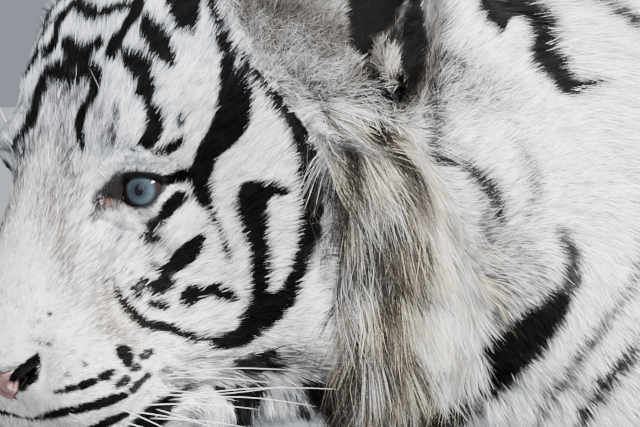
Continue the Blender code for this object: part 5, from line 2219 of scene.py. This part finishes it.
def ruff_locks(surface, owners, fields, way, rng, thinner):
    """The long hair behind the cheeks and round the throat, in locks that draw together at their tips."""
    normals = surface.normals()
    ruff = ramp(fields[:, 5], 0.2, 0.7)
    clear = fields[:, 7]
    triangle, shares = scatter(surface, ruff * 0.030 * (0.35 + 0.8 * clear), rng)
    centres = spread(surface.points, surface, triangle, shares)
    lock_count = len(centres)
    triangle, shares = scatter(surface, ruff * (0.20 + 1.7 * clear) * thinner, rng)
    roots = spread(surface.points, surface, triangle, shares)
    out = unit(spread(normals, surface, triangle, shares))
    lie = along_skin(spread(way, surface, triangle, shares), out)
    values = spread(fields, surface, triangle, shares)
    owner = owners[surface.triangles[triangle, 0]]
    tree = KDTree(len(centres))
    for number, centre in enumerate(centres):
        tree.insert(Vector(centre), number)
    tree.balance()
    pairs = [tree.find_n(Vector(root), 2) for root in roots]
    nearest = np.array([pair[0][1] for pair in pairs])
    gaps = np.array([[pair[0][2], pair[1][2]] for pair in pairs])
    inner = ramp((gaps[:, 1] - gaps[:, 0]) / gaps.sum(1), 0.03, 0.50)
    plane = on_cheek_plane(mirrored(centres))
    behind = ruff_depth(plane)
    share = ramp(behind, 46, 64)
    chance = rng.random(lock_count) * 0.75 + 0.25 * (noise(centres, 0.04, 41) * 0.5 + 0.5)
    tones = np.zeros((lock_count, 3))
    passed = np.zeros(lock_count)
    for colour, chances in LOCK_TONES:
        part = np.interp(behind, LOCK_ZONES, chances)
        take = (chance >= passed) & (chance < passed + part)
        tones[take] = colour
        passed = passed + part
    tones[tones.sum(1) == 0] = LOCK_TONES[0][0]
    # locks in the darkened patches of the ruff take brown-grey tones: brown fur and painted shade
    shaded = rng.random(lock_count) < ruff_shade(centres) * 0.75
    shaded_lock_tones = SHADED_LOCK * rng.uniform(0.3, 2.4, (lock_count, 1))
    tones = np.where(shaded[:, None], shaded_lock_tones, tones)
    tones = tones * rng.uniform(0.85, 1.15, (lock_count, 1))
    lock_length = rng.uniform(0.034, 0.062, lock_count) * (1 - 0.25 * share)
    lock_sway = rng.normal(0, 0.22, lock_count) + 0.35 * noise(centres, 0.05, 42)
    lock_lift = np.radians(rng.uniform(9, 32, lock_count) * (1 - 0.5 * share))
    swing = rng.normal(0, 0.11, lock_count)
    phase = rng.uniform(0, 6.28, lock_count)
    lock_curl = np.stack([swing, phase, rng.uniform(0.05, 0.30, lock_count)], -1)
    count = len(roots)
    lie = swayed(lie, out, lock_sway[nearest] + rng.normal(0, 0.13, count))
    length = lock_length[nearest] * rng.uniform(0.7, 1.1, count)
    length = length * (0.35 + 0.65 * ramp(values[:, 5], 0.3, 0.9))
    lift = lock_lift[nearest] * rng.uniform(0.75, 1.25, count)
    curl = lock_curl[nearest] * rng.uniform(0.8, 1.2, (count, 1))
    fine = values[:, 7]
    width = (0.0014 * (1 - fine) + 0.00034 * fine) * rng.uniform(0.6, 1.3, count)
    strip = share[nearest, None]
    # painted shade: hairs near the edge of their lock are darker, as the shade between locks
    hollow = 1 - (1 - inner[:, None]) * (0.92 - 0.70 * strip)
    lightness = rng.uniform(0.55, 1.15, (count, 1)) * (1 - 0.5 * strip) + 0.5 * strip
    colour = mixed(tones[nearest] * hollow * lightness, DARK, marking(roots, owner) * 0.9)
    gather = (roots - centres[nearest]) * rng.uniform(0.6, 1.1, (count, 1)) * (1 - 0.6 * strip)
    hairs = Hairs(
        roots - out * 0.001,
        out,
        lie,
        length,
        lift,
        width,
        # painted shade: the roots much darker than the tips
        colour * (0.10 + 0.75 * strip),
        np.clip(colour * 1.15, 0, BRIGHTEST),
        patches_of(roots, "head"),
        np.full(count, 0.45),
        curl,
        gather,
    )
    grow_coat("ruff", hairs, 3, rng)


def lid_coat(name, side, lid, rings, rng):
    """One eye's lids as a piece, and their short hair as another."""
    owners = np.full(len(lid.points), NODES.index("head"))
    dark, base = marking(lid.points, owners), ground(lid.points, owners)
    # painted shade: the lids' skin darkened as under the hair
    colours = lid_colours(lid.points, rings, side, dark, base * 0.60)
    obj = triangle_mesh("lids_" + name, lid.points, lid.triangles, colours, unwrap(lid.points, "head"))
    shade_smooth(obj.data)
    obj.data.materials.append(LID_LOOK)
    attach(obj, "root")
    normals = lid.normals()
    detail = 7.0 if side == LEFT else 2.6
    flat = eye_plane(lid.points, side)
    upper = ramp(flat[:, 1] / MM, -4, 3)
    furred = ramp(rings / MM, 1.2 + 1.2 * upper, 2.6 + 1.6 * upper)
    furred = furred * (1 - ramp(rings / MM, 14.5, 15.5))
    density = detail * furred * (1 - 0.6 * darkness(flat[:, :2] / MM, INNER_DARK))
    triangle, shares = scatter(lid, density, rng)
    roots = spread(lid.points, lid, triangle, shares)
    out = unit(spread(normals, lid, triangle, shares))
    run = (into_head(roots) - HAIR_ROOT) @ HEAD_AXES.T
    across, up, _ = eye_axes(side)
    place = eye_plane(roots, side)
    around = unit(across[None] * place[:, :1] + up[None] * place[:, 1:2])
    lie = along_skin(unit(unit(run) + 0.8 * around), out)
    count = len(roots)
    reach = spread(rings, lid, triangle, shares) / MM
    length = (0.0030 + 0.00028 * np.clip(reach, 0, 16)) * rng.uniform(0.75, 1.2, count)
    own = np.full(count, NODES.index("head"))
    dark, base = marking(roots, own), ground(roots, own)
    colour = lid_colours(roots, spread(rings, lid, triangle, shares), side, dark, base)
    tone = hair_tones(roots, rng)[:, None]
    lie = swayed(lie, out, rng.normal(0, 0.25, count))
    hairs = Hairs(
        roots,
        out,
        lie,
        length,
        np.radians(14) * rng.uniform(0.6, 1.5, count),
        np.full(count, 0.00042 if side == LEFT else 0.0007),
        # painted shade: the roots darker than the tips
        colour * tone * 0.60,
        colour * tone * 1.06,
        patches_of(roots, "head"),
    )
    grow_coat("coat_lids_" + name, hairs, 1, rng)


def whiskers(tree, rng):
    made = long_hairs(tree, WHISKERS, 0.00034, 0.35, rng)
    made += long_hairs(tree, BROW_HAIRS, 0.00010, 0.45, rng)
    joined_tubes("whiskers", made, WHISKER_LOOK)


def build_animal():
    rng = np.random.default_rng(12)
    thinner = 1.0
    finder = owner_finder()
    surface, owners, fields, way = build_skin(finder)
    lids, gap = seat_lids(surface)
    nose_leather(surface.tree())
    dark = marking(surface.points, owners)
    base = ground(surface.points, owners)
    # painted shade on the skin under the ruff and the grey tousled fur
    thick = np.clip(fields[:, 5] + fields[:, 6], 0, 1)
    base = mixed(base, UNDER_HAIR_SHADE, 0.9 * thick)
    short_coat(surface, owners, fields, way, gap, rng, thinner)
    ruff_locks(surface, owners, fields, way, rng, thinner)
    whiskers(surface.tree(), rng)
    seat_nose(surface)
    skin_object(surface, dark, base)
    for name, side in SIDES.items():
        eyeball(name, side)
        lid, rings = lids[name]
        lid_coat(name, side, lid, rings, rng)
    claws()


# ------------------------------------------------------------ floor, light and camera


def floor_and_sky():
    far = 60
    corners = [(-far, -far, 0), (far, -far, 0), (far, far, 0), (-far, far, 0)]
    floor = plain_mesh("floor", corners, [(0, 1, 2, 3)])
    made, tree, shader = new_material("floor_plain", 0.9, 0.1)
    two_tones(tree, shader, (0.085, 0.088, 0.098), (0.095, 0.098, 0.108), 0.6)
    floor.data.materials.append(made)
    world = bpy.data.worlds.new("studio")
    world.use_nodes = True
    world.node_tree.nodes["Background"].inputs["Color"].default_value = (0.30, 0.33, 0.38, 1)
    world.node_tree.nodes["Background"].inputs["Strength"].default_value = 1.0
    bpy.context.scene.world = world


def sun(name, azimuth, height, strength, softness, colour, glint):
    """A soft light from so many degrees round from the animal's front to its left, and so high."""
    light = bpy.data.lights.new(name, "SUN")
    light.energy = strength
    light.angle = math.radians(softness)
    light.color = colour
    light.specular_factor = glint
    obj = placed(name, light)
    a, h = math.radians(azimuth), math.radians(height)
    back = Vector((math.sin(a) * math.cos(h), -math.cos(a) * math.cos(h), math.sin(h)))
    obj.rotation_mode = "QUATERNION"
    obj.rotation_quaternion = back.to_track_quat("Z", "Y")


def camera():
    data = bpy.data.cameras.new("camera")
    data.sensor_width = 36
    data.lens = 36 * VIEW_DISTANCE / VIEW_WIDTH
    data.clip_end = 300
    obj = placed("camera", data)
    axes = np.stack([ACROSS, UPWARD, BACK], 1)
    place = np.eye(4)
    place[:3, :3] = axes
    place[:3, 3] = CAMERA_PLACE
    obj.matrix_world = Matrix(place.tolist())
    bpy.context.scene.camera = obj


floor_and_sky()
sun("key", 103, 35, 20, 7, (0.975, 0.99, 1.0), 1)
sun("sky", 60, 78, 4.0, 140, (0.95, 0.98, 1.0), 0)
sun("fill", 46, 12, 3.0, 30, (0.94, 0.97, 1.0), 0)
sun("rim", -140, 40, 2.6, 40, (1, 1, 1), 0)
sun("spark", -3, 32, 0.25, 3, (1, 1, 1), 1)
camera()
build_animal()
